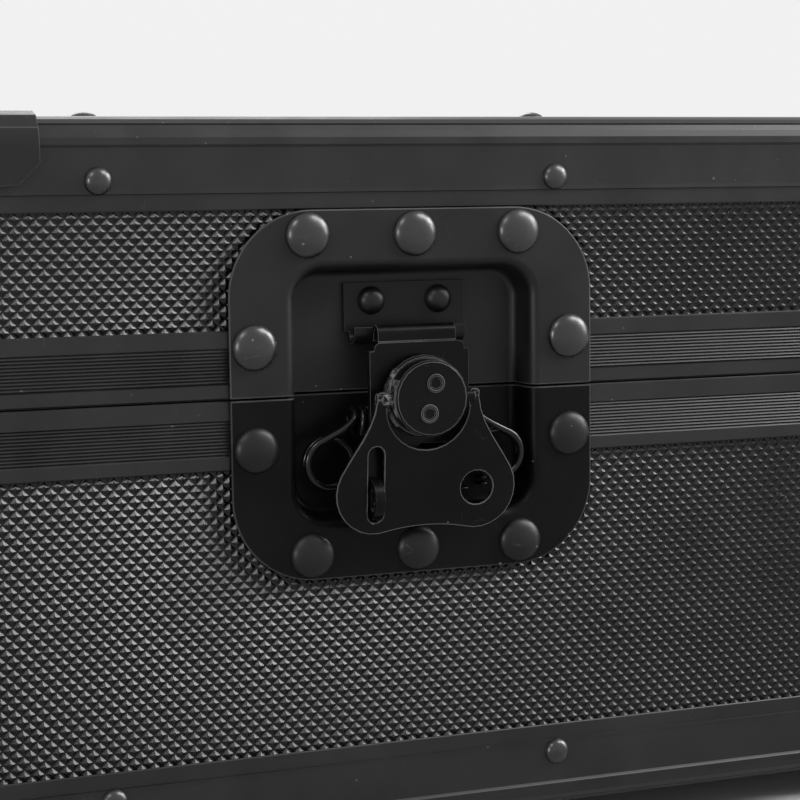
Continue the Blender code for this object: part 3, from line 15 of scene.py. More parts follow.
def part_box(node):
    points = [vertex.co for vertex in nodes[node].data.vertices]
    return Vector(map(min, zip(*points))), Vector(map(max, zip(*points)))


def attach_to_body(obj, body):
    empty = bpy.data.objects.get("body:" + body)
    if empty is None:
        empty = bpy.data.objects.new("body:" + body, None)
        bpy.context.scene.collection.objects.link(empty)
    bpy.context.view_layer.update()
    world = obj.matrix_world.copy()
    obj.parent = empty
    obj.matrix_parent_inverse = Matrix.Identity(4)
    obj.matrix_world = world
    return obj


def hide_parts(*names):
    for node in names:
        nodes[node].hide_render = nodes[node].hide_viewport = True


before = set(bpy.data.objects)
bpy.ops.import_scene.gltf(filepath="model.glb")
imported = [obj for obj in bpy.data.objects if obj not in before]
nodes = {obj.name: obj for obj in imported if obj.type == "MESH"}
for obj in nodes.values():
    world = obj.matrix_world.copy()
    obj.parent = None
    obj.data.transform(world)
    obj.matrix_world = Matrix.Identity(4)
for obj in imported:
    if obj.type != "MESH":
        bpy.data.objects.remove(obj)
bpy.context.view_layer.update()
print("nodes in the frame:", len(nodes))

# %% [markdown]
# ## Where things are
# The latches repeat at two places along the front, so their pieces are drawn
# around a latch's own middle: x across, y into the case from the laminate, and
# z up from the parting line. All three planes are read from the frame.

# %% Planes and middles, read from the frame
MM = 0.001
PANEL_FRONT_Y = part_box("base_front_panel")[0].y
PANEL_REAR_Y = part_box("base_rear_panel")[1].y
PANEL_SIDE_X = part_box("base_right_panel")[1].x
PANEL_TOP_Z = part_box("lid_top_panel")[1].z
PANEL_BOTTOM_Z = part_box("base_bottom_panel")[0].z
LATCH_X = {side: sum(corner.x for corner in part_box(f"{side}_cam")) / 2 for side in ("left", "right")}
PARTING_Z = (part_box("left_dish_lower")[1].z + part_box("left_dish_upper")[0].z) / 2
MIDDLE_Y = (PANEL_FRONT_Y + PANEL_REAR_Y) / 2
LATCH_MIDDLE = {side: Vector((x, PANEL_FRONT_Y, PARTING_Z)) for side, x in LATCH_X.items()}
print("latch middles, mm:", {side: [round(v / MM, 1) for v in at] for side, at in LATCH_MIDDLE.items()})

# %% [markdown]
# ## Small tools for edit mode
# An operator acts on whatever is selected, so each edit starts with nothing
# selected, and faces, edges or corners are then picked by where they are.

# %% Helpers for selecting and editing
def only(piece):
    """Make this the one selected and active object."""
    bpy.ops.object.select_all(action="DESELECT")
    piece.select_set(True)
    bpy.context.view_layer.objects.active = piece


def edit(piece):
    """Open the piece in edit mode with nothing selected."""
    only(piece)
    bpy.ops.object.mode_set(mode="EDIT")
    bpy.ops.mesh.select_all(action="DESELECT")


def pick_all():
    bpy.ops.mesh.select_all(action="SELECT")


def done():
    bpy.ops.object.mode_set(mode="OBJECT")


def pick(kind, test):
    """In edit mode, select the vertices, edges or faces whose middle passes the test."""
    piece = bpy.context.active_object
    bpy.ops.mesh.select_all(action="DESELECT")
    bpy.ops.mesh.select_mode(type=kind)
    shape = bmesh.from_edit_mesh(piece.data)
    if kind == "VERT":
        for vertex in shape.verts:
            vertex.select_set(test(vertex.co))
    elif kind == "EDGE":
        for edge in shape.edges:
            edge.select_set(all(test(vertex.co) for vertex in edge.verts))
    else:
        for face in shape.faces:
            face.select_set(test(face.calc_center_median(), face.normal))
    shape.select_flush_mode()
    bmesh.update_edit_mesh(piece.data)


def apply_modifier(piece, kind, **settings):
    """Add a modifier, give it its settings and make it part of the mesh."""
    only(piece)
    modifier = piece.modifiers.new(kind.lower(), kind)
    for name, value in settings.items():
        setattr(modifier, name, value)
    bpy.ops.object.modifier_apply(modifier=modifier.name)


def settle(piece, place=(0, 0, 0), turn=(0, 0, 0)):
    """Put the piece at its place and leave that place in its mesh."""
    only(piece)
    piece.location = place
    piece.rotation_euler = turn
    bpy.ops.object.transform_apply(location=True, rotation=True, scale=True)


def smooth(piece, sharp_above_deg=35, weighted=False):
    """Shade smooth, and keep the edges sharp that turn by more than the angle."""
    only(piece)
    bpy.ops.object.shade_smooth_by_angle(angle=math.radians(sharp_above_deg))
    if weighted:
        apply_modifier(piece, "WEIGHTED_NORMAL", keep_sharp=True, weight=80)


def in_scene(piece):
    bpy.context.scene.collection.objects.link(piece)
    return piece


def copy_to(piece, name, offset=(0, 0, 0)):
    """The same piece with its own mesh, moved by an offset."""
    twin = in_scene(piece.copy())
    twin.data = piece.data.copy()
    twin.name = name
    twin.data.transform(Matrix.Translation(offset))
    return twin


def remove(*pieces):
    for piece in pieces:
        bpy.data.objects.remove(piece)


def joined(name, *parts):
    """Make one piece of several, under one name."""
    only(parts[0])
    for part in parts[1:]:
        part.select_set(True)
    bpy.ops.object.join()
    parts[0].name = name
    return parts[0]


def give_finish(piece, material):
    piece.data.materials.clear()
    piece.data.materials.append(material)


def attach(piece, body, material, slot, *replaced):
    """Give the piece its finish and its body, and hide the solids it stands for."""
    give_finish(piece, material)
    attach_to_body(piece, body)
    if replaced:
        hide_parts(*replaced)
    print(piece.name, "rides on", body, "with", len(piece.data.polygons), "faces")


# %% [markdown]
# ## Effects that several finishes share
# Dust, fine scratches and the grain of a coating show on nearly every surface
# here. Each is a node group with named inputs, so that one finish can have
# more of it than the next.

# %% A helper that adds a shader node and joins its inputs
def add(tree, kind, inputs=None, **settings):
    """Add a node. An input is a plain value or another node's output."""
    node = tree.nodes.new(kind)
    for name, value in settings.items():
        setattr(node, name, value)
    for key, value in (inputs or {}).items():
        if isinstance(value, bpy.types.NodeSocket):
            tree.links.new(value, node.inputs[key])
        else:
            node.inputs[key].default_value = value
    return node


def math_of(tree, operation, *values, clamp=False):
    node = add(tree, "ShaderNodeMath", dict(enumerate(values)), operation=operation, use_clamp=clamp)
    return node.outputs[0]


def grey(level):
    return (level, level, level, 1.0)


def mix_colour(tree, factor, first, second):
    node = add(tree, "ShaderNodeMix", {0: factor}, data_type="RGBA")
    for key, value in ((6, first), (7, second)):
        if isinstance(value, bpy.types.NodeSocket):
            tree.links.new(value, node.inputs[key])
        else:
            node.inputs[key].default_value = value
    return node.outputs[2]


def rescaled(tree, value, low, high, new_low=0.0, new_high=1.0):
    node = add(tree, "ShaderNodeMapRange", {0: value, 1: low, 2: high, 3: new_low, 4: new_high})
    return node.outputs[0]


def bump_to(tree, shader, height, depth_mm, strength=1.0):
    """Let a height in mm stand out of the surface."""
    bump = add(tree, "ShaderNodeBump", {"Strength": strength, "Distance": depth_mm * MM, "Height": height})
    tree.links.new(bump.outputs[0], shader.inputs["Normal"])


def new_group(name, inputs, outputs):
    """An empty node group with float inputs and outputs, and its two end nodes."""
    group = bpy.data.node_groups.new(name, "ShaderNodeTree")
    for label, value in inputs.items():
        group.interface.new_socket(label, in_out="INPUT", socket_type="NodeSocketFloat").default_value = value
    for label in outputs:
        group.interface.new_socket(label, in_out="OUTPUT", socket_type="NodeSocketFloat")
    print("group:", name)
    return group, group.nodes.new("NodeGroupInput"), group.nodes.new("NodeGroupOutput")


# %% [markdown]
# Dust is a scatter of pale specks of uneven size. A Voronoi pattern gives one
# random point per cell, and the cell's random colour gives each speck its own
# radius, so that most cells stay nearly clean.

# %% Group: dust specks
def dust_group():
    group, given, result = new_group("dust_specks", {"Cells per metre": 260.0, "Speck size": 0.12}, ["Specks"])
    spot = add(group, "ShaderNodeTexCoord").outputs["Object"]
    cells = add(group, "ShaderNodeTexVoronoi", {"Vector": spot, "Scale": given.outputs[0]})
    chance = add(group, "ShaderNodeSeparateColor", {0: cells.outputs["Color"]}).outputs[0]
    rare = math_of(group, "POWER", chance, 5.0)
    radius = math_of(group, "MULTIPLY", rare, given.outputs[1])
    inside = math_of(group, "SUBTRACT", radius, cells.outputs["Distance"])
    specks = rescaled(group, inside, 0.0, 0.012)
    group.links.new(specks, result.inputs[0])
    return group


DUST = dust_group()

# %% [markdown]
# A fine scratch is a thin line that stops after a few millimetres. The borders
# between stretched Voronoi cells are such lines, and a noise pattern keeps only
# short lengths of them.

# %% Group: fine scratches
def scratch_group():
    inputs = {"Cells per metre": 70.0, "Line width": 0.006, "How many": 0.38}
    group, given, result = new_group("fine_scratches", inputs, ["Scratches"])
    spot = add(group, "ShaderNodeTexCoord").outputs["Object"]
    lines = []
    for turn in ((0.3, 0.5, 0.9), (-0.6, 0.2, -0.5)):
        stretched = add(group, "ShaderNodeMapping",
                        {"Vector": spot, "Rotation": turn, "Scale": (1.0, 0.35, 1.7)})
        cells = add(group, "ShaderNodeTexVoronoi", {"Vector": stretched.outputs[0], "Scale": given.outputs[0]},
                    feature="DISTANCE_TO_EDGE")
        near = math_of(group, "SUBTRACT", given.outputs[1], cells.outputs["Distance"])
        lines.append(rescaled(group, near, 0.0, 0.004))
    both = math_of(group, "MAXIMUM", lines[0], lines[1])
    patches = add(group, "ShaderNodeTexNoise", {"Vector": spot, "Scale": 140.0, "Detail": 2.0})
    threshold = math_of(group, "SUBTRACT", 1.0, given.outputs[2])
    over = math_of(group, "SUBTRACT", patches.outputs["Fac"], threshold)
    kept = rescaled(group, over, 0.0, 0.05)
    group.links.new(math_of(group, "MULTIPLY", both, kept), result.inputs[0])
    return group


SCRATCHES = scratch_group()

# %% [markdown]
# Powder coat and anodising are never quite even: there is a fine grain that
# blurs reflections, and broad faint blotches from handling.

# %% Group: coating grain and handling marks
def grain_group():
    group, given, result = new_group("coating_grain", {"Grains per metre": 2600.0}, ["Grain", "Blotches"])
    spot = add(group, "ShaderNodeTexCoord").outputs["Object"]
    grain = add(group, "ShaderNodeTexNoise", {"Vector": spot, "Scale": given.outputs[0], "Detail": 3.0})
    blotches = add(group, "ShaderNodeTexNoise",
                   {"Vector": spot, "Scale": 38.0, "Detail": 4.0, "Roughness": 0.6})
    group.links.new(grain.outputs["Fac"], result.inputs[0])
    group.links.new(rescaled(group, blotches.outputs["Fac"], 0.35, 0.65), result.inputs[1])
    return group


GRAIN = grain_group()

# %% [markdown]
# ## Finishes
# Every coated or anodised part shares one recipe: a nearly black coat, a grain
# that bumps the surface, blotches that vary its gloss, and pale dust and
# scratches on top. The numbers tell the finishes apart.

# %% The recipe for a coated surface
def new_material(name):
    """A node material, its tree and its shader."""
    material = bpy.data.materials.new(name)
    material.use_nodes = True
    print("finish:", name)
    return material, material.node_tree, material.node_tree.nodes["Principled BSDF"]


def grouped(tree, group, **inputs):
    node = tree.nodes.new("ShaderNodeGroup")
    node.node_tree = group
    for name, value in inputs.items():
        node.inputs[name.replace("_", " ")].default_value = value
    return node


def coated(name, colour, roughness, specular, grain, grain_depth, haze=0.3, dust=0.4, scratch=0.4,
           speck=0.12, edge_wear_and_sheen=0.0, scuffed=0.0):
    """A coated surface: colour and roughness are its clean values, the rest sets its wear.
    Its paler rounded edges are partly edge wear and partly a painted highlight.
    """
    material, tree, shader = new_material(name)
    texture = grouped(tree, GRAIN, Grains_per_metre=grain)
    specks = grouped(tree, DUST, Speck_size=speck).outputs[0]
    scratches = grouped(tree, SCRATCHES).outputs[0]
    clean = (*colour, 1.0)
    hazy = (*(channel * (1.0 + haze) + 0.004 * haze for channel in colour), 1.0)
    body = mix_colour(tree, texture.outputs["Blotches"], clean, hazy)
    marks = math_of(tree, "MULTIPLY", scratches, scratch)
    marked = mix_colour(tree, marks, body, grey(0.16))
    # The rounded edges are painted paler: partly rubbed coat, partly a painted highlight along the edges.
    edge = add(tree, "ShaderNodeAttribute", attribute_name="edge").outputs["Fac"]
    rubbed_edge_and_sheen = rescaled(tree, texture.outputs["Blotches"], 0.0, 1.0, 0.55 * edge_wear_and_sheen, edge_wear_and_sheen)
    marked = mix_colour(tree, math_of(tree, "MULTIPLY", edge, rubbed_edge_and_sheen), marked, grey(0.15))
    if scuffed:
        spot = add(tree, "ShaderNodeTexCoord").outputs["Object"]
        flakes = add(tree, "ShaderNodeTexNoise",
                     {"Vector": spot, "Scale": 520.0, "Detail": 5.0, "Roughness": 0.7})
        patchy = rescaled(tree, flakes.outputs["Fac"], 0.44, 0.60, 0.0, scuffed)
        place = add(tree, "ShaderNodeAttribute", attribute_name="scuff").outputs["Fac"]
        marked = mix_colour(tree, math_of(tree, "MULTIPLY", place, patchy), marked, (0.34, 0.34, 0.33, 1.0))
    dusty = math_of(tree, "MULTIPLY", specks, dust)
    final = mix_colour(tree, dusty, marked, (0.30, 0.30, 0.29, 1.0))
    tree.links.new(final, shader.inputs["Base Color"])
    spread = rescaled(tree, texture.outputs["Blotches"], 0.0, 1.0, roughness - 0.04, roughness + 0.05)
    rough = math_of(tree, "ADD", spread, math_of(tree, "MULTIPLY", specks, 0.3), clamp=True)
    tree.links.new(rough, shader.inputs["Roughness"])
    shader.inputs["Specular IOR Level"].default_value = specular
    bump_to(tree, shader, texture.outputs["Grain"], grain_depth)
    return material


# %% The case's coated finishes
POWDER = "black_powder_coat"
ANODISED = coated("black_anodised_aluminium", (0.0065, 0.0065, 0.0067), 0.35, specular=0.36, grain=1800.0,
                  grain_depth=0.004, haze=0.5, dust=0.25, scratch=0.10)
DISH_UPPER_COAT = coated("lid_dish_powder_coat", (0.0050, 0.0050, 0.0052), 0.46, specular=0.26, grain=2400.0,
                         grain_depth=0.022, haze=0.5, scratch=0.06, edge_wear_and_sheen=0.45)
# The same powder coat as the lid's dish, made darker and less glossy: painted shade on the base's dish halves.
BASE_DISH_PAINTED_SHADE_COAT = coated("base_dish_coat_painted_shade", (0.0012, 0.0012, 0.0013), 0.38, specular=0.10, grain=2400.0,
                         grain_depth=0.016, haze=0.4, scratch=0.06, edge_wear_and_sheen=0.35)
LATCH_COAT = coated("latch_black_coat", (0.0012, 0.0012, 0.0013), 0.26, specular=0.12, grain=3000.0,
                    grain_depth=0.004, scratch=0.12, edge_wear_and_sheen=0.80, scuffed=0.75)
KEEPER_COAT = coated("keeper_black_coat", (0.0028, 0.0028, 0.0029), 0.38, specular=0.20, grain=2600.0,
                     grain_depth=0.010, scratch=0.08, edge_wear_and_sheen=0.35)
RIVET_COAT = coated("rivet_black_coat", (0.008, 0.008, 0.0083), 0.28, specular=0.60, grain=1500.0,
                    grain_depth=0.010, haze=0.6, scratch=0.45)
# The rivet coat made darker and less glossy: painted shade on the base dish's rivets and on the keeper's
# rivets.
RIVET_PAINTED_SHADE_COAT = coated("rivet_coat_painted_shade", (0.004, 0.004, 0.0042), 0.36, specular=0.26, grain=1500.0,
                          grain_depth=0.010, haze=0.6, scratch=0.45)
CORNER_COAT = coated("corner_powder_coat", (0.0050, 0.0050, 0.0052), 0.42, specular=0.30, grain=2400.0,
                     grain_depth=0.020, haze=0.5, dust=0.3, scratch=0.12, edge_wear_and_sheen=0.35)
WIRE_COAT = coated("black_spring_wire", (0.002, 0.002, 0.0021), 0.22, specular=0.30, grain=1500.0,
                   grain_depth=0.002, dust=0.2, scratch=0.05)
RUBBER = coated("matt_black_rubber", (0.012, 0.012, 0.012), 0.72, specular=0.30, grain=1300.0,
                grain_depth=0.05, haze=0.4, scratch=0.0, speck=0.10)

# %% [markdown]
# The laminate's pyramids are real relief. Their tips and the grooves between
# them are told apart by an attribute that each corner of the mesh carries,
# which is 1 at a tip and 0 in a groove: tips are painted paler, partly as wear
# and partly as a painted highlight, and the grooves get painted shade.

# %% Finish: embossed laminate
def laminate_finish():
    material, tree, shader = new_material("pyramid_laminate")
    height = add(tree, "ShaderNodeAttribute", attribute_name="relief").outputs["Fac"]
    texture = grouped(tree, GRAIN, Grains_per_metre=1500.0)
    specks = grouped(tree, DUST, Cells_per_metre=330.0, Speck_size=0.10).outputs[0]
    # Painted shade in the grooves: the colour is darker towards the foot of each pyramid.
    painted_groove_shade = mix_colour(tree, rescaled(tree, height, 0.0, 0.25), grey(0.002),
                               (0.0035, 0.0035, 0.0037, 1.0))
    # Tips painted paler: partly rubbed wear, partly a painted highlight on the ridges.
    tip_wear_and_highlight = math_of(tree, "MULTIPLY", rescaled(tree, height, 0.82, 1.0), texture.outputs["Blotches"])
    tips = mix_colour(tree, math_of(tree, "MULTIPLY", tip_wear_and_highlight, 0.4), painted_groove_shade, grey(0.05))
    final = mix_colour(tree, math_of(tree, "MULTIPLY", specks, 0.4), tips, (0.30, 0.30, 0.29, 1.0))
    tree.links.new(final, shader.inputs["Base Color"])
    rough = rescaled(tree, texture.outputs["Blotches"], 0.0, 1.0, 0.19, 0.27)
    tree.links.new(rough, shader.inputs["Roughness"])
    bump_to(tree, shader, texture.outputs["Grain"], 0.030)
    shader.inputs["Specular IOR Level"].default_value = 0.32
    return material


LAMINATE = laminate_finish()

# %% [markdown]
# Foam is a mesh of open cells. Two sizes of Voronoi cells make the pores, and
# a rough, fully diffuse surface with a little sheen keeps it soft.

# %% Finish: charcoal foam
def foam_finish():
    material, tree, shader = new_material("charcoal_foam")
    spot = add(tree, "ShaderNodeTexCoord").outputs["Object"]
    fine = add(tree, "ShaderNodeTexVoronoi", {"Vector": spot, "Scale": 900.0}).outputs["Distance"]
    coarse = add(tree, "ShaderNodeTexVoronoi", {"Vector": spot, "Scale": 380.0}).outputs["Distance"]
    pores = math_of(tree, "ADD", fine, math_of(tree, "MULTIPLY", coarse, 0.6))
    colour = mix_colour(tree, rescaled(tree, pores, 0.2, 1.0), (0.018, 0.018, 0.019, 1.0),
                        (0.060, 0.060, 0.063, 1.0))
    tree.links.new(colour, shader.inputs["Base Color"])
    shader.inputs["Roughness"].default_value = 0.95
    shader.inputs["Specular IOR Level"].default_value = 0.15
    shader.inputs["Sheen Weight"].default_value = 0.3
    bump_to(tree, shader, pores, 0.35, strength=0.8)
    return material


FOAM = foam_finish()

# %% [markdown]
# ## Solids whose shape is already right
# A pressed or turned metal part never has a razor edge: the light runs along a
# small rounding, and that bright line is what the eye reads as metal. So each
# solid is copied, its loose triangles are merged into faces, and its edges get
# a bevel of a few tenths of a millimetre. The frame's own node is hidden.

# %% Rounded edges, marked so that a coat is painted paler there, as edge wear and a painted highlight
def rounded(piece, width_mm, segments, angle_deg, clamp=True):
    """Bevel the sharp edges, and give each new face the value 1 in the attribute "edge"."""
    mesh = piece.data
    mesh.materials.clear()
    for _ in range(2):
        mesh.materials.append(None)
    for face in mesh.polygons:
        face.material_index = 0
    apply_modifier(piece, "BEVEL", width=width_mm * MM, segments=segments, limit_method="ANGLE",
                   angle_limit=math.radians(angle_deg), use_clamp_overlap=clamp, material=1)
    edge = piece.data.attributes.new("edge", "FLOAT", "FACE")
    edge.data.foreach_set("value", [float(face.material_index == 1) for face in piece.data.polygons])
    for face in piece.data.polygons:
        face.material_index = 0


# %% A copy of a solid with rounded edges
def softened(node, name, edge_mm, segments=2, sharp_deg=28, rounds=0, reshape=None, merge_mm=0.01, clamp=True):
    """Copy a solid, merge its faces, reshape it where asked, and round its edges.
    A bevel is never wider than the shortest edge lets it be, so merge_mm closes those first."""
    piece = copy_to(nodes[node], name)
    for key in list(piece.keys()):
        del piece[key]
    piece.parent = None
    edit(piece)
    bpy.ops.mesh.customdata_custom_splitnormals_clear()
    pick_all()
    bpy.ops.mesh.remove_doubles(threshold=1e-5)
    bpy.ops.mesh.mark_sharp(clear=True)
    bpy.ops.mesh.dissolve_limited(angle_limit=math.radians(0.6))
    done()
    if reshape:
        reshape(piece)
    edit(piece)
    pick_all()
    bpy.ops.mesh.remove_doubles(threshold=merge_mm * MM)
    done()
    if rounds:
        apply_modifier(piece, "SUBSURF", levels=rounds, render_levels=rounds)
    if edge_mm:
        rounded(piece, edge_mm, segments, sharp_deg, clamp)
    smooth(piece, 34, weighted=True)
    return piece


# %% [markdown]
# ## Embossed laminate
# The case's walls are faced with black laminate that is embossed with rows of
# small pyramids, each a square turned on its corner, and alternate rows shift
# by half a pyramid. A grid turned by 45 degrees has just that layout. Each
# square is inset for the groove around it, inset again and raised for its four
# slopes, and its blunt tip is poked up a little. Sheets that are never seen from
# near have plain poked pyramids, which keeps them light.

# %% Size of the pyramids
PYRAMID_ACROSS = 3.95 * MM
PYRAMID_UP = 3.89 * MM
PYRAMID_RISE = 0.56 * MM
POINTED_RISE = 0.75 * MM
FACET_RUN = 0.80 * MM
TIP_RISE = 0.05 * MM
GROOVE_WIDTH = 0.50 * MM
SKIN_LIFT = 0.02 * MM
CELL = PYRAMID_ACROSS / math.sqrt(2)


# %% One flat sheet of pyramids
def pyramid_sheet(name, width, height, openings=(), detailed=True):
    """A closed sheet that faces up, centred on the origin. Openings are (x, y, half width, half height)."""
    cells = math.ceil((width + height) / math.sqrt(2) / CELL) + 2
    cells += cells % 2
    bpy.ops.mesh.primitive_grid_add(x_subdivisions=cells, y_subdivisions=cells, size=cells * CELL)
    sheet = bpy.context.active_object
    sheet.name = name
    settle(sheet, turn=(0, 0, math.pi / 4))
    sheet.scale = (1, PYRAMID_UP / PYRAMID_ACROSS, 1)
    settle(sheet)
    edit(sheet)

    def outside(middle, normal):
        in_opening = any(abs(middle.x - x) < a and abs(middle.y - y) < b for x, y, a, b in openings)
        return abs(middle.x) > width / 2 or abs(middle.y) > height / 2 or in_opening

    pick("FACE", outside)
    bpy.ops.mesh.delete(type="FACE")
    pick_all()
    if detailed:
        bpy.ops.mesh.inset(use_individual=True, thickness=GROOVE_WIDTH / 2, depth=0)
        bpy.ops.mesh.inset(use_individual=True, thickness=FACET_RUN, depth=PYRAMID_RISE)
        bpy.ops.mesh.poke(offset=TIP_RISE)
    else:
        bpy.ops.mesh.poke(offset=POINTED_RISE)
    pick_all()
    bpy.ops.mesh.region_to_loop()
    bpy.ops.mesh.extrude_edges_move(TRANSFORM_OT_translate={"value": (0, 0, -SKIN_LIFT / 2)})
    bpy.ops.mesh.fill(use_beauty=False)
    done()
    relief = sheet.data.attributes.new("relief", "FLOAT", "POINT")
    top = PYRAMID_RISE + TIP_RISE if detailed else POINTED_RISE
    relief.data.foreach_set("value", [max(0.0, v.co.z) / top for v in sheet.data.vertices])
    return sheet


# %% [markdown]
# The sheets end a few millimetres under the angles and the extrusions, and
# are open behind the latch and handle dishes.

# %% Sheets on all six sides of the case
ANGLE_LEG = 24.7 * MM
LID_COVER = 19.8 * MM
BASE_COVER = 20.5 * MM
HIDDEN_EDGE = 2.5 * MM
LATCH_OPENING = (43 * MM, 43 * MM)
HANDLE_OPENING = (59 * MM, 30 * MM)
HANDLE_Z = sum(corner.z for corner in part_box("left_handle_dish")) / 2
FACE_WIDTH = 2 * (PANEL_SIDE_X - ANGLE_LEG + HIDDEN_EDGE)
FACE_DEPTH = PANEL_REAR_Y - PANEL_FRONT_Y - 2 * (ANGLE_LEG - HIDDEN_EDGE)
HEIGHTS = {
    "lid": (PARTING_Z + LID_COVER - HIDDEN_EDGE, PANEL_TOP_Z - ANGLE_LEG + HIDDEN_EDGE),
    "base": (PANEL_BOTTOM_Z + ANGLE_LEG - HIDDEN_EDGE, PARTING_Z - BASE_COVER + HIDDEN_EDGE),
}
FACINGS = {
    "front": ((0, PANEL_FRONT_Y), 0, FACE_WIDTH),
    "rear": ((0, PANEL_REAR_Y), 180, FACE_WIDTH),
    "left": ((-PANEL_SIDE_X, MIDDLE_Y), -90, FACE_DEPTH),
    "right": ((PANEL_SIDE_X, MIDDLE_Y), 90, FACE_DEPTH),
}


def wall_sheet(half, wall):
    """The sheet on one upright wall of the lid or the base."""
    (x, y), turn_deg, width = FACINGS[wall]
    low, high = HEIGHTS[half]
    middle_z = (low + high) / 2
    openings = []
    if wall == "front":
        openings = [(at, PARTING_Z - middle_z, *LATCH_OPENING) for at in LATCH_X.values()]
    elif half == "base" and wall in ("left", "right"):
        openings = [(0, HANDLE_Z - middle_z, *HANDLE_OPENING)]
    sheet = pyramid_sheet(f"{half}_{wall}_laminate", width, high - low, openings, detailed=wall == "front")
    turn = math.radians(turn_deg)
    outwards = Vector((math.sin(turn), -math.cos(turn), 0)) * SKIN_LIFT
    settle(sheet, Vector((x, y, middle_z)) + outwards, (math.pi / 2, 0, turn))
    attach(sheet, half, LAMINATE, "pyramid_laminate")


for half in HEIGHTS:
    for wall in FACINGS:
        wall_sheet(half, wall)
for name, body, z, turn in (("lid_top_laminate", "lid", PANEL_TOP_Z + SKIN_LIFT, 0),
                            ("base_bottom_laminate", "base", PANEL_BOTTOM_Z - SKIN_LIFT, math.pi)):
    sheet = pyramid_sheet(name, FACE_WIDTH, FACE_DEPTH, detailed=False)
    settle(sheet, (0, MIDDLE_Y, z), (turn, 0, 0))
    attach(sheet, body, LAMINATE, "pyramid_laminate")

# %% [markdown]
# ## Rivet heads
# Every fixing on the case is a domed rivet head with a soft edge. One dome is
# a sphere pressed flat and cut in half, and it is copied wherever one sits.

# %% A domed head
SMALL_HEAD_SIDES = 24


def rivet_head(middle, facing, diameter, height, sides=32):
    """A closed dome that stands on the middle and faces away from the case."""
    bpy.ops.mesh.primitive_uv_sphere_add(segments=sides, ring_count=sides // 2, radius=diameter / 2)
    head = bpy.context.active_object
    edit(head)
    pick_all()
    bpy.ops.transform.resize(value=(1, 1, 2 * height / diameter))
    bpy.ops.mesh.bisect(plane_co=(0, 0, 0), plane_no=(0, 0, 1), clear_inner=True, use_fill=True)
    done()
    turn = Vector(facing).to_track_quat("Z", "Y").to_euler()
    settle(head, middle, turn)
    smooth(head, 60)
    return head


# %% [markdown]
# ## Latch dishes
# Each latch sits in a dish pressed from one sheet: a flat flange with large
# round corners, a soft bend over the rim, walls that lean a little, and a flat
# floor. The flange and the rim start as two rounded rectangles with the same
# number of corners, bridged into a face. The wall is pulled in from the rim,
# and the two bends are bevels. The dish is then cut in two at the parting line.

# %% Sizes of a latch dish
FLANGE = (56.75 * MM, 53.9 * MM, 25 * MM)
RIM = (37.2 * MM, 36.7 * MM, 9.2 * MM)
FLANGE_Y = -3.0 * MM
FLOOR_Y = 7.7 * MM
WALL_LEAN = 1.1 * MM
RIM_BEND = 2.8 * MM
FLOOR_BEND = 2.0 * MM
SHEET = 1.2 * MM
DISH_GAP = 0.6 * MM
CORNER_STEPS = 16


# %% One dish, pressed from a sheet
def rounded_loop(half_x, half_z, radius, y):
    """The outline of a rounded rectangle that faces the front, as one face."""
    bpy.ops.mesh.primitive_plane_add(size=2)
    loop = bpy.context.active_object
    loop.scale = (half_x, half_z, 1)
    settle(loop)
    settle(loop, (0, y, 0), (math.pi / 2, 0, 0))
    edit(loop)
    pick_all()
    bpy.ops.mesh.bevel(offset=radius, segments=CORNER_STEPS, affect="VERTICES")
    done()
    return loop


def pressed_dish(flange, rim, flange_y, floor_y, lean, rim_bend, floor_bend):
    """The front skin of a dish with its middle at the origin, facing -y."""
    outer = rounded_loop(*flange, flange_y)
    inner = rounded_loop(*rim, flange_y)
    dish = joined("dish", outer, inner)
    edit(dish)
    pick_all()
    bpy.ops.mesh.delete(type="ONLY_FACE")
    pick_all()
    bpy.ops.mesh.bridge_edge_loops()
    reach = max(rim[0], rim[1]) + 1.0 * MM
    pick("EDGE", lambda at: abs(at.x) < reach and abs(at.z) < reach)
    bpy.ops.mesh.extrude_edges_move(TRANSFORM_OT_translate={"value": (0, floor_y - flange_y, 0)})
    shrink = (1 - lean / rim[0], 1, 1 - lean / rim[1])
    bpy.ops.transform.resize(value=shrink, center_override=(0, 0, 0))
    bpy.ops.mesh.edge_face_add()
    pick("EDGE", lambda at: abs(at.y - flange_y) < 1e-5 and abs(at.x) < reach and abs(at.z) < reach)
    bpy.ops.mesh.bevel(offset=rim_bend, segments=8, affect="EDGES")
    pick("EDGE", lambda at: abs(at.y - floor_y) < 1e-5)
    bpy.ops.mesh.bevel(offset=floor_bend, segments=6, affect="EDGES")
    pick_all()
    bpy.ops.mesh.normals_make_consistent(inside=False)
    done()
    middle = max(dish.data.polygons, key=lambda face: face.area)
    if middle.normal.y > 0:
        edit(dish)
        pick_all()
        bpy.ops.mesh.flip_normals()
        done()
    return dish


DISH = pressed_dish(FLANGE, RIM, FLANGE_Y, FLOOR_Y, WALL_LEAN, RIM_BEND, FLOOR_BEND)
print("dish skin faces:", len(DISH.data.polygons))

# %% Cut the dish at the parting line and give each half its thickness and rivets
RIVET_PLACES = [(0, 46.6), (32.9, 46.6), (-32.9, 46.6), (49.3, 14.8), (-49.3, 14.8)]
RIVET_WIDTH = 13.5 * MM
RIVET_HEIGHT = 2.9 * MM


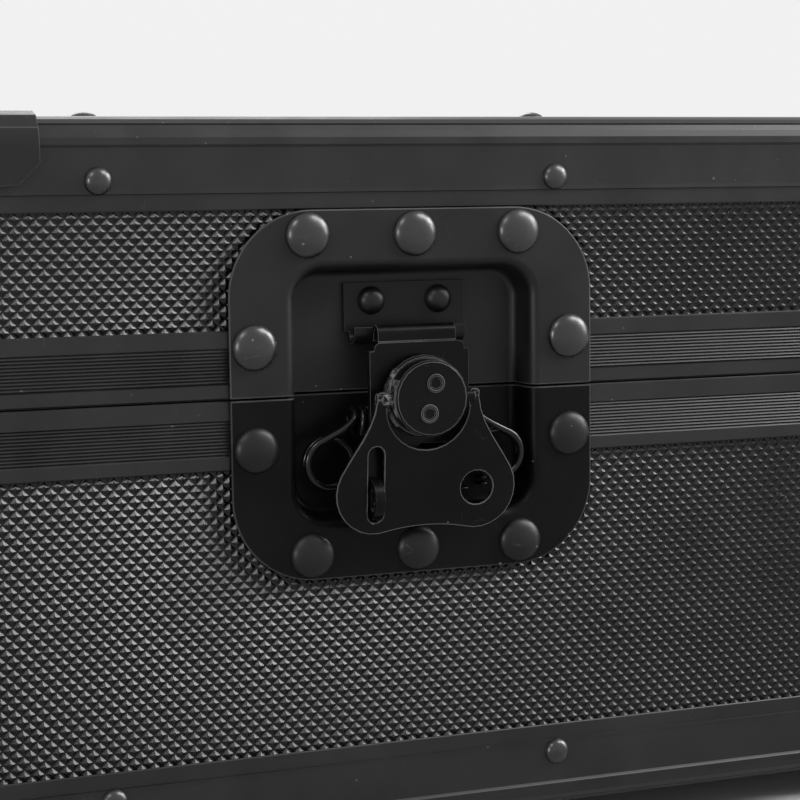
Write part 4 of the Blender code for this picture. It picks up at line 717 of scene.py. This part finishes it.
def half_dish(upper):
    """The upper or lower half, as a closed sheet with five rivet heads."""
    side = 1 if upper else -1
    half = copy_to(DISH, "half_dish")
    edit(half)
    pick_all()
    bpy.ops.mesh.bisect(plane_co=(0, 0, side * DISH_GAP / 2), plane_no=(0, 0, side), clear_inner=True)
    done()
    apply_modifier(half, "SOLIDIFY", thickness=SHEET, offset=-1)
    rounded(half, 0.42, 3, 50)
    smooth(half, 40, weighted=True)
    heads = [rivet_head((x * MM, FLANGE_Y + 0.05 * MM, side * z * MM), (0, -1, 0), RIVET_WIDTH, RIVET_HEIGHT)
             for x, z in RIVET_PLACES]
    return half, joined("dish_rivets", *heads)


# The lower halves take the darker copies of the dish and rivet coats, which are painted shade.
for word, body, upper, coat, rivet_coat in (("upper", "lid", True, DISH_UPPER_COAT, RIVET_COAT),
                                            ("lower", "base", False, BASE_DISH_PAINTED_SHADE_COAT, RIVET_PAINTED_SHADE_COAT)):
    shell, heads = half_dish(upper)
    for side, middle in LATCH_MIDDLE.items():
        dish_piece = copy_to(shell, f"{side}_pressed_dish_{word}", middle)
        attach(dish_piece, body, coat, POWDER, f"{side}_dish_{word}")
        rivet_piece = copy_to(heads, f"{side}_dish_rivets_{word}", middle)
        attach(rivet_piece, body, rivet_coat, POWDER)
    remove(shell, heads)
remove(DISH)

# %% [markdown]
# ## The latch itself
# The keeper, hook, cam, wing, lock plate and link are stamped or turned parts
# whose solids are right, so each gets rounded edges and its coat.

# %% The roll at the top of the hook stands back a little from its plate
ROLL_FOOT_Z = (15.0, 15.25)
ROLL_BACK = 0.45 * MM


def step_back_roll(piece):
    edit(piece)
    for z in ROLL_FOOT_Z:
        pick_all()
        bpy.ops.mesh.bisect(plane_co=(0, 0, PARTING_Z + z * MM), plane_no=(0, 0, 1), threshold=1e-6)
    pick("VERT", lambda at: at.z > PARTING_Z + (ROLL_FOOT_Z[1] - 0.01) * MM)
    bpy.ops.transform.translate(value=(0, ROLL_BACK, 0))
    done()


# %% Latch parts with rounded edges
LATCH_PARTS = {
    "keeper": ("lid", 0.25, 0.01, KEEPER_COAT),
    "latch_bracket": ("base", 0.2, 0.01, LATCH_COAT),
    "swing_link": ("{side}_latch_swing", 0.2, 0.01, LATCH_COAT),
    "hook_plate": ("{side}_latch_hook", 0.3, 0.15, LATCH_COAT),
    "cam": ("{side}_latch_cam", 0.3, 0.01, LATCH_COAT),
    "lock_plate": ("{side}_latch_cam", 0.2, 0.12, LATCH_COAT),
}


def mark(piece, attribute, test):
    """Set a face attribute to 1 on the faces whose middle and normal pass the test."""
    if attribute not in piece.data.attributes:
        piece.data.attributes.new(attribute, "FLOAT", "FACE")
    values = piece.data.attributes[attribute].data
    for face, value in zip(piece.data.polygons, values):
        if test(face.center, face.normal):
            value.value = 1.0


for side, middle in LATCH_MIDDLE.items():
    for part, (body, edge_mm, merge_mm, coat) in LATCH_PARTS.items():
        piece = softened(f"{side}_{part}", f"{side}_{part}_finished", edge_mm, merge_mm=merge_mm,
                         reshape=step_back_roll if part == "hook_plate" else None)
        if part == "cam":
            mark(piece, "scuff", lambda at, normal: at.x < middle.x - 9 * MM and abs(at.z - middle.z) < 9 * MM
                 and at.y > middle.y - 14 * MM)
        attach(piece, body.format(side=side), coat, POWDER, f"{side}_{part}")

# %% [markdown]
# The wing's ears end in flat rounded tabs around its pivot. Its solid has a
# round knuckle there, so what stands proud of the plate is cut off flush, and a
# tab of the plate's own thickness is laid over each ear.

# %% The wing and its two tabs
EAR = {"inner": 12.6, "outer": 15.9, "top": 2.2, "foot": -3.0, "sheet": 1.6}
PIVOT = Vector((0, -12.4, -0.8)) * MM


def flush_ears(piece):
    """Cut off all that stands in front of the plate's front face."""
    front = max((face for face in piece.data.polygons if face.normal.y < -0.9), key=lambda face: face.area)
    at, facing = front.center.copy(), front.normal.copy()
    edit(piece)
    pick_all()
    bpy.ops.mesh.bisect(plane_co=at + facing * 0.02 * MM, plane_no=facing, clear_outer=True, use_fill=True,
                        threshold=1e-6)
    pick_all()
    bpy.ops.mesh.remove_doubles(threshold=0.06 * MM)
    bpy.ops.mesh.dissolve_limited(angle_limit=math.radians(2))
    done()
    piece["lean"] = math.atan2(-facing.z, -facing.y)


def ear_tab(side, lean):
    """One rounded tab, upright at the pivot and then leaned like the plate."""
    width, height = EAR["outer"] - EAR["inner"], EAR["top"] - EAR["foot"]
    bpy.ops.mesh.primitive_cube_add(size=1)
    tab = bpy.context.active_object
    tab.scale = (width * MM, EAR["sheet"] * MM, height * MM)
    settle(tab)
    settle(tab, (side * (EAR["inner"] + EAR["outer"]) / 2 * MM, 0, (EAR["top"] + EAR["foot"]) / 2 * MM))
    edit(tab)
    bpy.ops.mesh.select_mode(type="EDGE")
    shape = bmesh.from_edit_mesh(tab.data)
    for edge in shape.edges:
        ends = [vertex.co for vertex in edge.verts]
        edge.select_set(all(at.z > 0 for at in ends) and abs(ends[0].y - ends[1].y) > 0.1 * MM)
    bmesh.update_edit_mesh(tab.data)
    bpy.ops.mesh.bevel(offset=1.3 * MM, segments=6, affect="EDGES")
    done()
    rounded(tab, 0.3, 2, 40)
    settle(tab, turn=(lean, 0, 0))
    smooth(tab, 40, weighted=True)
    return tab


for side, middle in LATCH_MIDDLE.items():
    plate = softened(f"{side}_wing", f"{side}_wing_finished", 0.32, reshape=flush_ears, merge_mm=0.25,
                     clamp=False)
    lean = plate["lean"]
    tabs = [ear_tab(across, lean) for across in (-1, 1)]
    for tab in tabs:
        settle(tab, middle + PIVOT)
    attach(joined(f"{side}_wing_finished", plate, *tabs), f"{side}_latch_wing", LATCH_COAT, POWDER,
           f"{side}_wing")
    print("the wing leans", round(math.degrees(lean), 2), "degrees")

# %% [markdown]
# The wing turns on a short pin at each side of the drum. A collar round the pin
# carries the wear: on the left one the coat is rubbed off down to bright steel.

# %% Collars on the wing's pins
COLLAR = {"radius": 1.75, "inner": 11.2, "outer": 14.3}


def pin_collar(side):
    bpy.ops.mesh.primitive_cylinder_add(vertices=28, radius=COLLAR["radius"] * MM,
                                        depth=(COLLAR["outer"] - COLLAR["inner"]) * MM)
    collar = bpy.context.active_object
    settle(collar, (side * (COLLAR["outer"] + COLLAR["inner"]) / 2 * MM, 0, 0), (0, math.pi / 2, 0))
    edit(collar)
    pick("FACE", lambda at, normal: normal.x * side > 0.9)
    bpy.ops.mesh.inset(thickness=0.6 * MM, depth=0)
    bpy.ops.mesh.extrude_region_move(TRANSFORM_OT_translate={"value": (side * 0.3 * MM, 0, 0)})
    done()
    rounded(collar, 0.25, 2, 40)
    if side < 0:
        mark(collar, "scuff", lambda at, normal: True)
    smooth(collar, 40, weighted=True)
    return collar


for side, middle in LATCH_MIDDLE.items():
    collars = [pin_collar(across) for across in (-1, 1)]
    for collar in collars:
        settle(collar, middle + PIVOT)
    attach(joined(f"{side}_pin_collars", *collars), f"{side}_latch_cam", LATCH_COAT, POWDER)

# %% [markdown]
# Two tubular rivets hold the drum to its cam. Their rolled rims catch the light
# as bright rings, so each is a short cylinder with a sunken middle and soft edges.

# %% Drum rivets
STUDS = {"radius": 2.75, "rim": 0.75, "proud": 0.55, "sunk": 0.45, "offset": 4.5, "turn_deg": 77.0,
         "face_y": -16.0}


def rimmed_stud(at):
    bpy.ops.mesh.primitive_cylinder_add(vertices=36, radius=STUDS["radius"] * MM, depth=2 * STUDS["proud"] * MM)
    stud = bpy.context.active_object
    settle(stud, at, (math.pi / 2, 0, 0))
    edit(stud)
    pick("FACE", lambda middle, normal: normal.y < -0.9)
    bpy.ops.mesh.inset(thickness=STUDS["rim"] * MM, depth=0)
    bpy.ops.mesh.extrude_region_move(TRANSFORM_OT_translate={"value": (0, STUDS["sunk"] * MM, 0)})
    done()
    rounded(stud, 0.24, 3, 40)
    smooth(stud, 40, weighted=True)
    return stud


for side, middle in LATCH_MIDDLE.items():
    turn = math.radians(STUDS["turn_deg"])
    reach = Vector((math.cos(turn), 0, math.sin(turn))) * STUDS["offset"]
    seat = Vector((0, STUDS["face_y"], -0.8))
    studs = [rimmed_stud(middle + (seat + reach * sign) * MM) for sign in (-1, 1)]
    attach(joined(f"{side}_drum_rivets", *studs), f"{side}_latch_cam", LATCH_COAT, POWDER)

# %% [markdown]
# Each spring is one length of round wire: a leg behind the hook, two turns on
# the swing pin, a straight run, and a ring of a little over one turn that rests
# on the dish floor. The route is a formula, as for a wire-forming machine.

# %% Round wire springs
WIRE_RADIUS = 1.06 * MM
COIL = {"x": 13.8, "y": 2.2, "z": -8.7, "radius": 4.2, "pitch": 2.58, "turns": 2}
RING = {"x": 26.6, "y": -2.7, "z": -19.8, "radius": 7.1, "start_deg": 68.0, "turns": 1.2}
STEPS_PER_TURN = 40
LEG_TOP_Z = -1.0


def wire_route():
    """The right-hand spring's centre line, in mm from the latch's middle."""
    x, y, z, radius, pitch, turns = COIL.values()
    route = [Vector((x, y - radius, LEG_TOP_Z)), Vector((x, y - radius, (LEG_TOP_Z + z) / 2))]
    for step in range(STEPS_PER_TURN * turns - STEPS_PER_TURN // 10):
        turned = step / STEPS_PER_TURN
        angle = 2 * math.pi * turned
        route.append(Vector((x + pitch * turned, y - radius * math.cos(angle), z - radius * math.sin(angle))))
    x, y, z, radius, start_deg, turns = RING.values()
    ring = []
    for step in range(int(STEPS_PER_TURN * turns) + 1):
        turned = step / STEPS_PER_TURN
        angle = math.radians(start_deg) - 2 * math.pi * turned
        ring.append(Vector((x + radius * math.cos(angle), y + pitch * turned, z + radius * math.sin(angle))))
    leave = (route[-1] - route[-2]).normalized()
    arrive = (ring[1] - ring[0]).normalized()
    lead = (ring[0] - route[-1]).length / 3
    bends = [route[-1], route[-1] + leave * lead, ring[0] - arrive * lead, ring[0]]
    for step in range(1, 16):
        t = step / 16
        route.append(bends[0] * (1 - t) ** 3 + bends[1] * 3 * t * (1 - t) ** 2
                     + bends[2] * 3 * t * t * (1 - t) + bends[3] * t ** 3)
    return route + ring


def round_wire(name, route, radius, side, middle):
    """A closed tube along a route in mm; side is 1 as drawn and -1 mirrored across the latch."""
    curve = bpy.data.curves.new(name, "CURVE")
    curve.dimensions = "3D"
    curve.bevel_depth = radius
    curve.bevel_resolution = 4
    curve.use_fill_caps = True
    line = curve.splines.new("POLY")
    line.points.add(len(route) - 1)
    for point, at in zip(line.points, route):
        point.co = (side * at[0] * MM, at[1] * MM, at[2] * MM, 1)
    wire = in_scene(bpy.data.objects.new(name, curve))
    only(wire)
    bpy.ops.object.convert(target="MESH")
    settle(wire, middle)
    edit(wire)
    pick_all()
    bpy.ops.mesh.remove_doubles(threshold=1e-6)
    bpy.ops.mesh.normals_make_consistent(inside=False)
    done()
    smooth(wire, 60)
    return wire


for latch, middle in LATCH_MIDDLE.items():
    for place, side in (("inner", -1), ("outer", 1)):
        spring = round_wire(f"{latch}_{place}_wire_spring", wire_route(), WIRE_RADIUS, side, middle)
        attach(spring, "base", WIRE_COAT, "black_wire", f"{latch}_spring_{place}")

# %% [markdown]
# Through the wing's round hole three short wire clips catch the light on the
# dish floor, one on the left and two on the right.

# %% Wire clips behind the wing's round hole
CLIP_RADIUS = 0.5 * MM
CLIP_BEND = 0.4
CLIP_FRONT_Y, CLIP_FOOT_Y = 3.9, 8.0
CLIP_BEND_Y = CLIP_FRONT_Y + CLIP_BEND
CLIPS = [(16.3, 19.0, -30.8), (23.3, 25.1, -27.9), (23.3, 25.4, -29.8)]
for latch, middle in LATCH_MIDDLE.items():
    wires = []
    for left, right, z in CLIPS:
        route = [(left, CLIP_FOOT_Y, z), (left, CLIP_BEND_Y, z), (left + CLIP_BEND, CLIP_FRONT_Y, z),
                 (right - CLIP_BEND, CLIP_FRONT_Y, z), (right, CLIP_BEND_Y, z), (right, CLIP_FOOT_Y, z)]
        wires.append(round_wire("clip_wire", route, CLIP_RADIUS, 1, middle))
    attach(joined(f"{latch}_wire_clip", *wires), "base", WIRE_COAT, "black_wire")

# %% [markdown]
# The keeper is held by two smaller domed rivets.

# %% Keeper rivets
KEEPER_RIVET_PLACES = [Vector((x * MM, 6.2 * MM, 26.8 * MM)) for x in (-10.6, 10.6)]
KEEPER_RIVET = (8.5 * MM, 2.95 * MM)
# The keeper's rivets take the darker rivet coat, which is painted shade.
for side, middle in LATCH_MIDDLE.items():
    heads = [rivet_head(middle + at, (0, -1, 0), *KEEPER_RIVET, SMALL_HEAD_SIDES) for at in KEEPER_RIVET_PLACES]
    attach(joined(f"{side}_keeper_rivets", *heads), "lid", RIVET_PAINTED_SHADE_COAT, POWDER)

# %% [markdown]
# ## Frame, extrusions and corners
# Edge angles and the ribbed extrusions are long anodised sections. Their solids
# carry every rib and lip, so they stay and only get their finish. Small domed
# rivets hold the angles along each side.

# %% Angles and extrusions
for half in ("lid", "base"):
    for part in ("edge_frame", "location_extrusion"):
        give_finish(nodes[f"{half}_{part}"], ANODISED)
        print(half, part, "is anodised")

# %% Rivets along the angles
ANGLE_RIVET_PITCH = 138.6 * MM
ANGLE_RIVET_INSET = 16.1 * MM
ANGLE_FACE = 1.45 * MM
ANGLE_RIVET = (8.0 * MM, 2.2 * MM)
SIDE_PITCH_SHARE = 0.9


def angle_rivets(half, face_z, up):
    """Rivets in both legs of the angle on the lid's top or the base's bottom edges."""
    heads = []
    level = face_z - up * ANGLE_RIVET_INSET
    face = face_z + up * ANGLE_FACE
    along_x = [(k - 1.5) * ANGLE_RIVET_PITCH for k in range(4)]
    along_y = [MIDDLE_Y + (k - 1) * ANGLE_RIVET_PITCH * SIDE_PITCH_SHARE for k in range(3)]
    for y, outwards in ((PANEL_FRONT_Y, -1), (PANEL_REAR_Y, 1)):
        for x in along_x:
            heads.append(((x, y + outwards * ANGLE_FACE, level), (0, outwards, 0)))
            heads.append(((x, y - outwards * ANGLE_RIVET_INSET, face), (0, 0, up)))
    for x, outwards in ((-PANEL_SIDE_X, -1), (PANEL_SIDE_X, 1)):
        for y in along_y:
            heads.append(((x + outwards * ANGLE_FACE, y, level), (outwards, 0, 0)))
            heads.append(((x - outwards * ANGLE_RIVET_INSET, y, face), (0, 0, up)))
    made = [rivet_head(at, facing, *ANGLE_RIVET, SMALL_HEAD_SIDES) for at, facing in heads]
    attach(joined(f"{half}_angle_rivets", *made), half, RIVET_COAT, "black_anodised")


angle_rivets("lid", PANEL_TOP_Z, 1)
angle_rivets("base", PANEL_BOTTOM_Z, -1)

# %% [markdown]
# ## Ball corners
# The solid corners have coarse balls. The ball is the part that shows, so a
# round one is laid over it, and the part of it inside the case is cut away.

# %% Ball corners
BALL_RADIUS = 19.6 * MM
BALL_INSET = 10.5 * MM
LEG_FACE = 3.4 * MM
BALL_OVERLAP = 0.3 * MM
BLOCK_HALF = 60 * MM
for half, face_z, up in (("lid", PANEL_TOP_Z, 1), ("base", PANEL_BOTTOM_Z, -1)):
    for end, y, outwards in (("front", PANEL_FRONT_Y, -1), ("rear", PANEL_REAR_Y, 1)):
        for side, x, across in (("left", -PANEL_SIDE_X, -1), ("right", PANEL_SIDE_X, 1)):
            node = f"{half}_corner_{end}_{side}"
            corner = Vector((x, y, face_z))
            away = Vector((across, outwards, up))
            bpy.ops.mesh.primitive_uv_sphere_add(segments=40, ring_count=24, radius=BALL_RADIUS,
                                                 location=corner - away * BALL_INSET)
            ball = bpy.context.active_object
            settle(ball, ball.location)
            inwards = LEG_FACE - BALL_OVERLAP - BLOCK_HALF
            bpy.ops.mesh.primitive_cube_add(size=2 * BLOCK_HALF, location=corner + away * inwards)
            block = bpy.context.active_object
            apply_modifier(ball, "BOOLEAN", operation="DIFFERENCE", object=block, solver="EXACT")
            remove(block)
            smooth(ball, 40)
            legs = softened(node, f"{node}_finished", 0.3, 2, 24)
            attach(joined(f"{node}_finished", legs, ball), half, CORNER_COAT, POWDER, node)

# %% [markdown]
# ## Handles, hinges and feet
# The recessed handles are pressed dishes with a steel bail and a rubber grip.

# %% Handles and hinges
def finished(node, body, coat, slot, edge_mm, segments=2, rounds=0):
    """Put a copy with rounded edges in the solid's place."""
    piece = softened(node, f"{node}_finished", edge_mm, segments, 24, rounds)
    attach(piece, body, coat, slot, node)


for side in LATCH_X:
    finished(f"{side}_handle_dish", "base", DISH_UPPER_COAT, POWDER, 0.3)
    finished(f"{side}_handle_bail", f"{side}_bail", LATCH_COAT, POWDER, 0.0, rounds=1)
    finished(f"{side}_handle_grip", f"{side}_bail", RUBBER, "black_rubber", 0.4, 3)
    finished(f"{side}_hinge_lid_leaf", "lid", CORNER_COAT, POWDER, 0.2)
    finished(f"{side}_hinge_base_leaf", "base", CORNER_COAT, POWDER, 0.2)

# %% Feet
for end in ("front_left", "front_right", "rear_left", "rear_right"):
    piece = softened(f"foot_{end}", f"rubber_foot_{end}", 0.8, 3, 30)
    attach(piece, "base", RUBBER, "black_rubber", f"foot_{end}")

# %% [markdown]
# ## Foam linings
# The foam is cut from thick sheet, so it has soft edges and a slightly uneven
# surface rather than machined planes.

# %% Foam tray and lid pad
for node, body in (("base_foam", "base"), ("lid_foam", "lid")):
    pad = softened(node, f"{node}_lining", 2.5, 3, 40)
    attach(pad, body, FOAM, "grey_foam", node)

# %% Finishes of the solids that stay
for name, node in nodes.items():
    if name.endswith("_panel"):
        give_finish(node, LAMINATE)

# %% [markdown]
# ## Stage, light and camera
# The floor is plain and pale, and glows softly where it meets the backdrop. The
# large softboxes above and to the right give the rivet heads their highlight, a
# low strip on the left lights the pyramids' left slopes, and two stand behind.

# %% Floor
bpy.ops.mesh.primitive_plane_add(size=12, location=(0, 0, 0))
floor = bpy.context.active_object
floor.name = "studio_floor"
floor_finish, ground, paper = new_material("studio_floor")
away = add(ground, "ShaderNodeVectorMath", {0: add(ground, "ShaderNodeTexCoord").outputs["Object"]},
           operation="LENGTH").outputs["Value"]
far = rescaled(ground, away, 0.6, 1.6)
sight = add(ground, "ShaderNodeLightPath").outputs
direct = math_of(ground, "MAXIMUM", math_of(ground, "MAXIMUM", sight["Is Camera Ray"], sight["Is Glossy Ray"]),
                 sight["Is Transmission Ray"])
glow = math_of(ground, "MULTIPLY", far, direct)
ground.links.new(mix_colour(ground, far, grey(0.55), grey(0.0)), paper.inputs["Base Color"])
ground.links.new(mix_colour(ground, glow, grey(0.0), grey(0.88)), paper.inputs["Emission Color"])
paper.inputs["Emission Strength"].default_value = 1.0
paper.inputs["Roughness"].default_value = 0.9
paper.inputs["Specular IOR Level"].default_value = 0.1
give_finish(floor, floor_finish)


# %% Softboxes and room light
def softbox(name, at, aim, width, height, watts):
    light = bpy.data.lights.new(name, "AREA")
    light.shape = "RECTANGLE"
    light.size = width
    light.size_y = height
    light.energy = watts
    lamp = in_scene(bpy.data.objects.new(name, light))
    lamp.location = at
    lamp.rotation_euler = (Vector(aim) - Vector(at)).to_track_quat("-Z", "Y").to_euler()


AIM = Vector((-0.1, PANEL_FRONT_Y, 0.14))
SOFTBOXES = {
    "softbox_right": ((0.88, -0.23, 0.47), 3.0, 1.5, 0.9, 70.0),
    "softbox_low_right": ((0.93, -0.27, 0.18), 3.0, 0.8, 0.6, 15.0),
    "softbox_high_left": ((-0.52, -0.60, 0.66), 3.0, 0.75, 0.75, 17.0),
    "softbox_high_right": ((0.60, -0.40, 0.74), 3.0, 1.4, 1.0, 50.0),
    "strip_left": ((-0.80, -0.56, 0.03), 3.0, 0.40, 0.90, 28.0),
    "softbox_behind": ((0.10, 0.85, 0.55), 3.0, 1.6, 1.4, 20.0),
    "softbox_left_rear": ((-0.75, 0.55, 0.38), 3.0, 1.5, 1.5, 26.0),
}
for name, (towards, distance, width, height, watts) in SOFTBOXES.items():
    softbox(name, AIM + Vector(towards).normalized() * distance, AIM, width, height, watts)
    print(name, watts, "W")
world = bpy.data.worlds.new("studio_room")
bpy.context.scene.world = world
world.use_nodes = True
room = world.node_tree
background = room.nodes["Background"]
rays = add(room, "ShaderNodeLightPath").outputs
seen = math_of(room, "MAXIMUM", rays["Is Camera Ray"], rays["Is Transmission Ray"])
seen = math_of(room, "MAXIMUM", seen, rays["Is Glossy Ray"])
room.links.new(rescaled(room, seen, 0.0, 1.0, 0.10, 0.88), background.inputs["Strength"])
background.inputs["Color"].default_value = grey(1.0)

# %% [markdown]
# The camera's place was worked out from 40 points of the photograph: it stands
# a little to the left of the latch and above it, about 0.6 m away.

# %% Camera
CAMERA_FROM_LATCH = Vector((-210.05, -557.31, 60.52)) * MM
YAW, PITCH, ROLL = (math.radians(angle) for angle in (20.2813, 6.0610, -0.6521))
LENS_MM = 90.957
turn_out = Matrix.Rotation(-YAW, 4, "Z") @ Matrix.Rotation(math.pi / 2 - PITCH, 4, "X")
lens = bpy.data.cameras.new("photo_camera")
lens.lens = LENS_MM
lens.sensor_width = 36
lens.clip_start = 0.01
camera = in_scene(bpy.data.objects.new("photo_camera", lens))
camera.matrix_world = (Matrix.Translation(LATCH_MIDDLE["left"] + CAMERA_FROM_LATCH) @ turn_out
                       @ Matrix.Rotation(ROLL, 4, "Z"))
bpy.context.scene.camera = camera
bpy.context.scene.view_settings.view_transform = "Standard"
print("camera at", [round(v, 4) for v in camera.location])

# %% Update the view layer
bpy.context.view_layer.update()
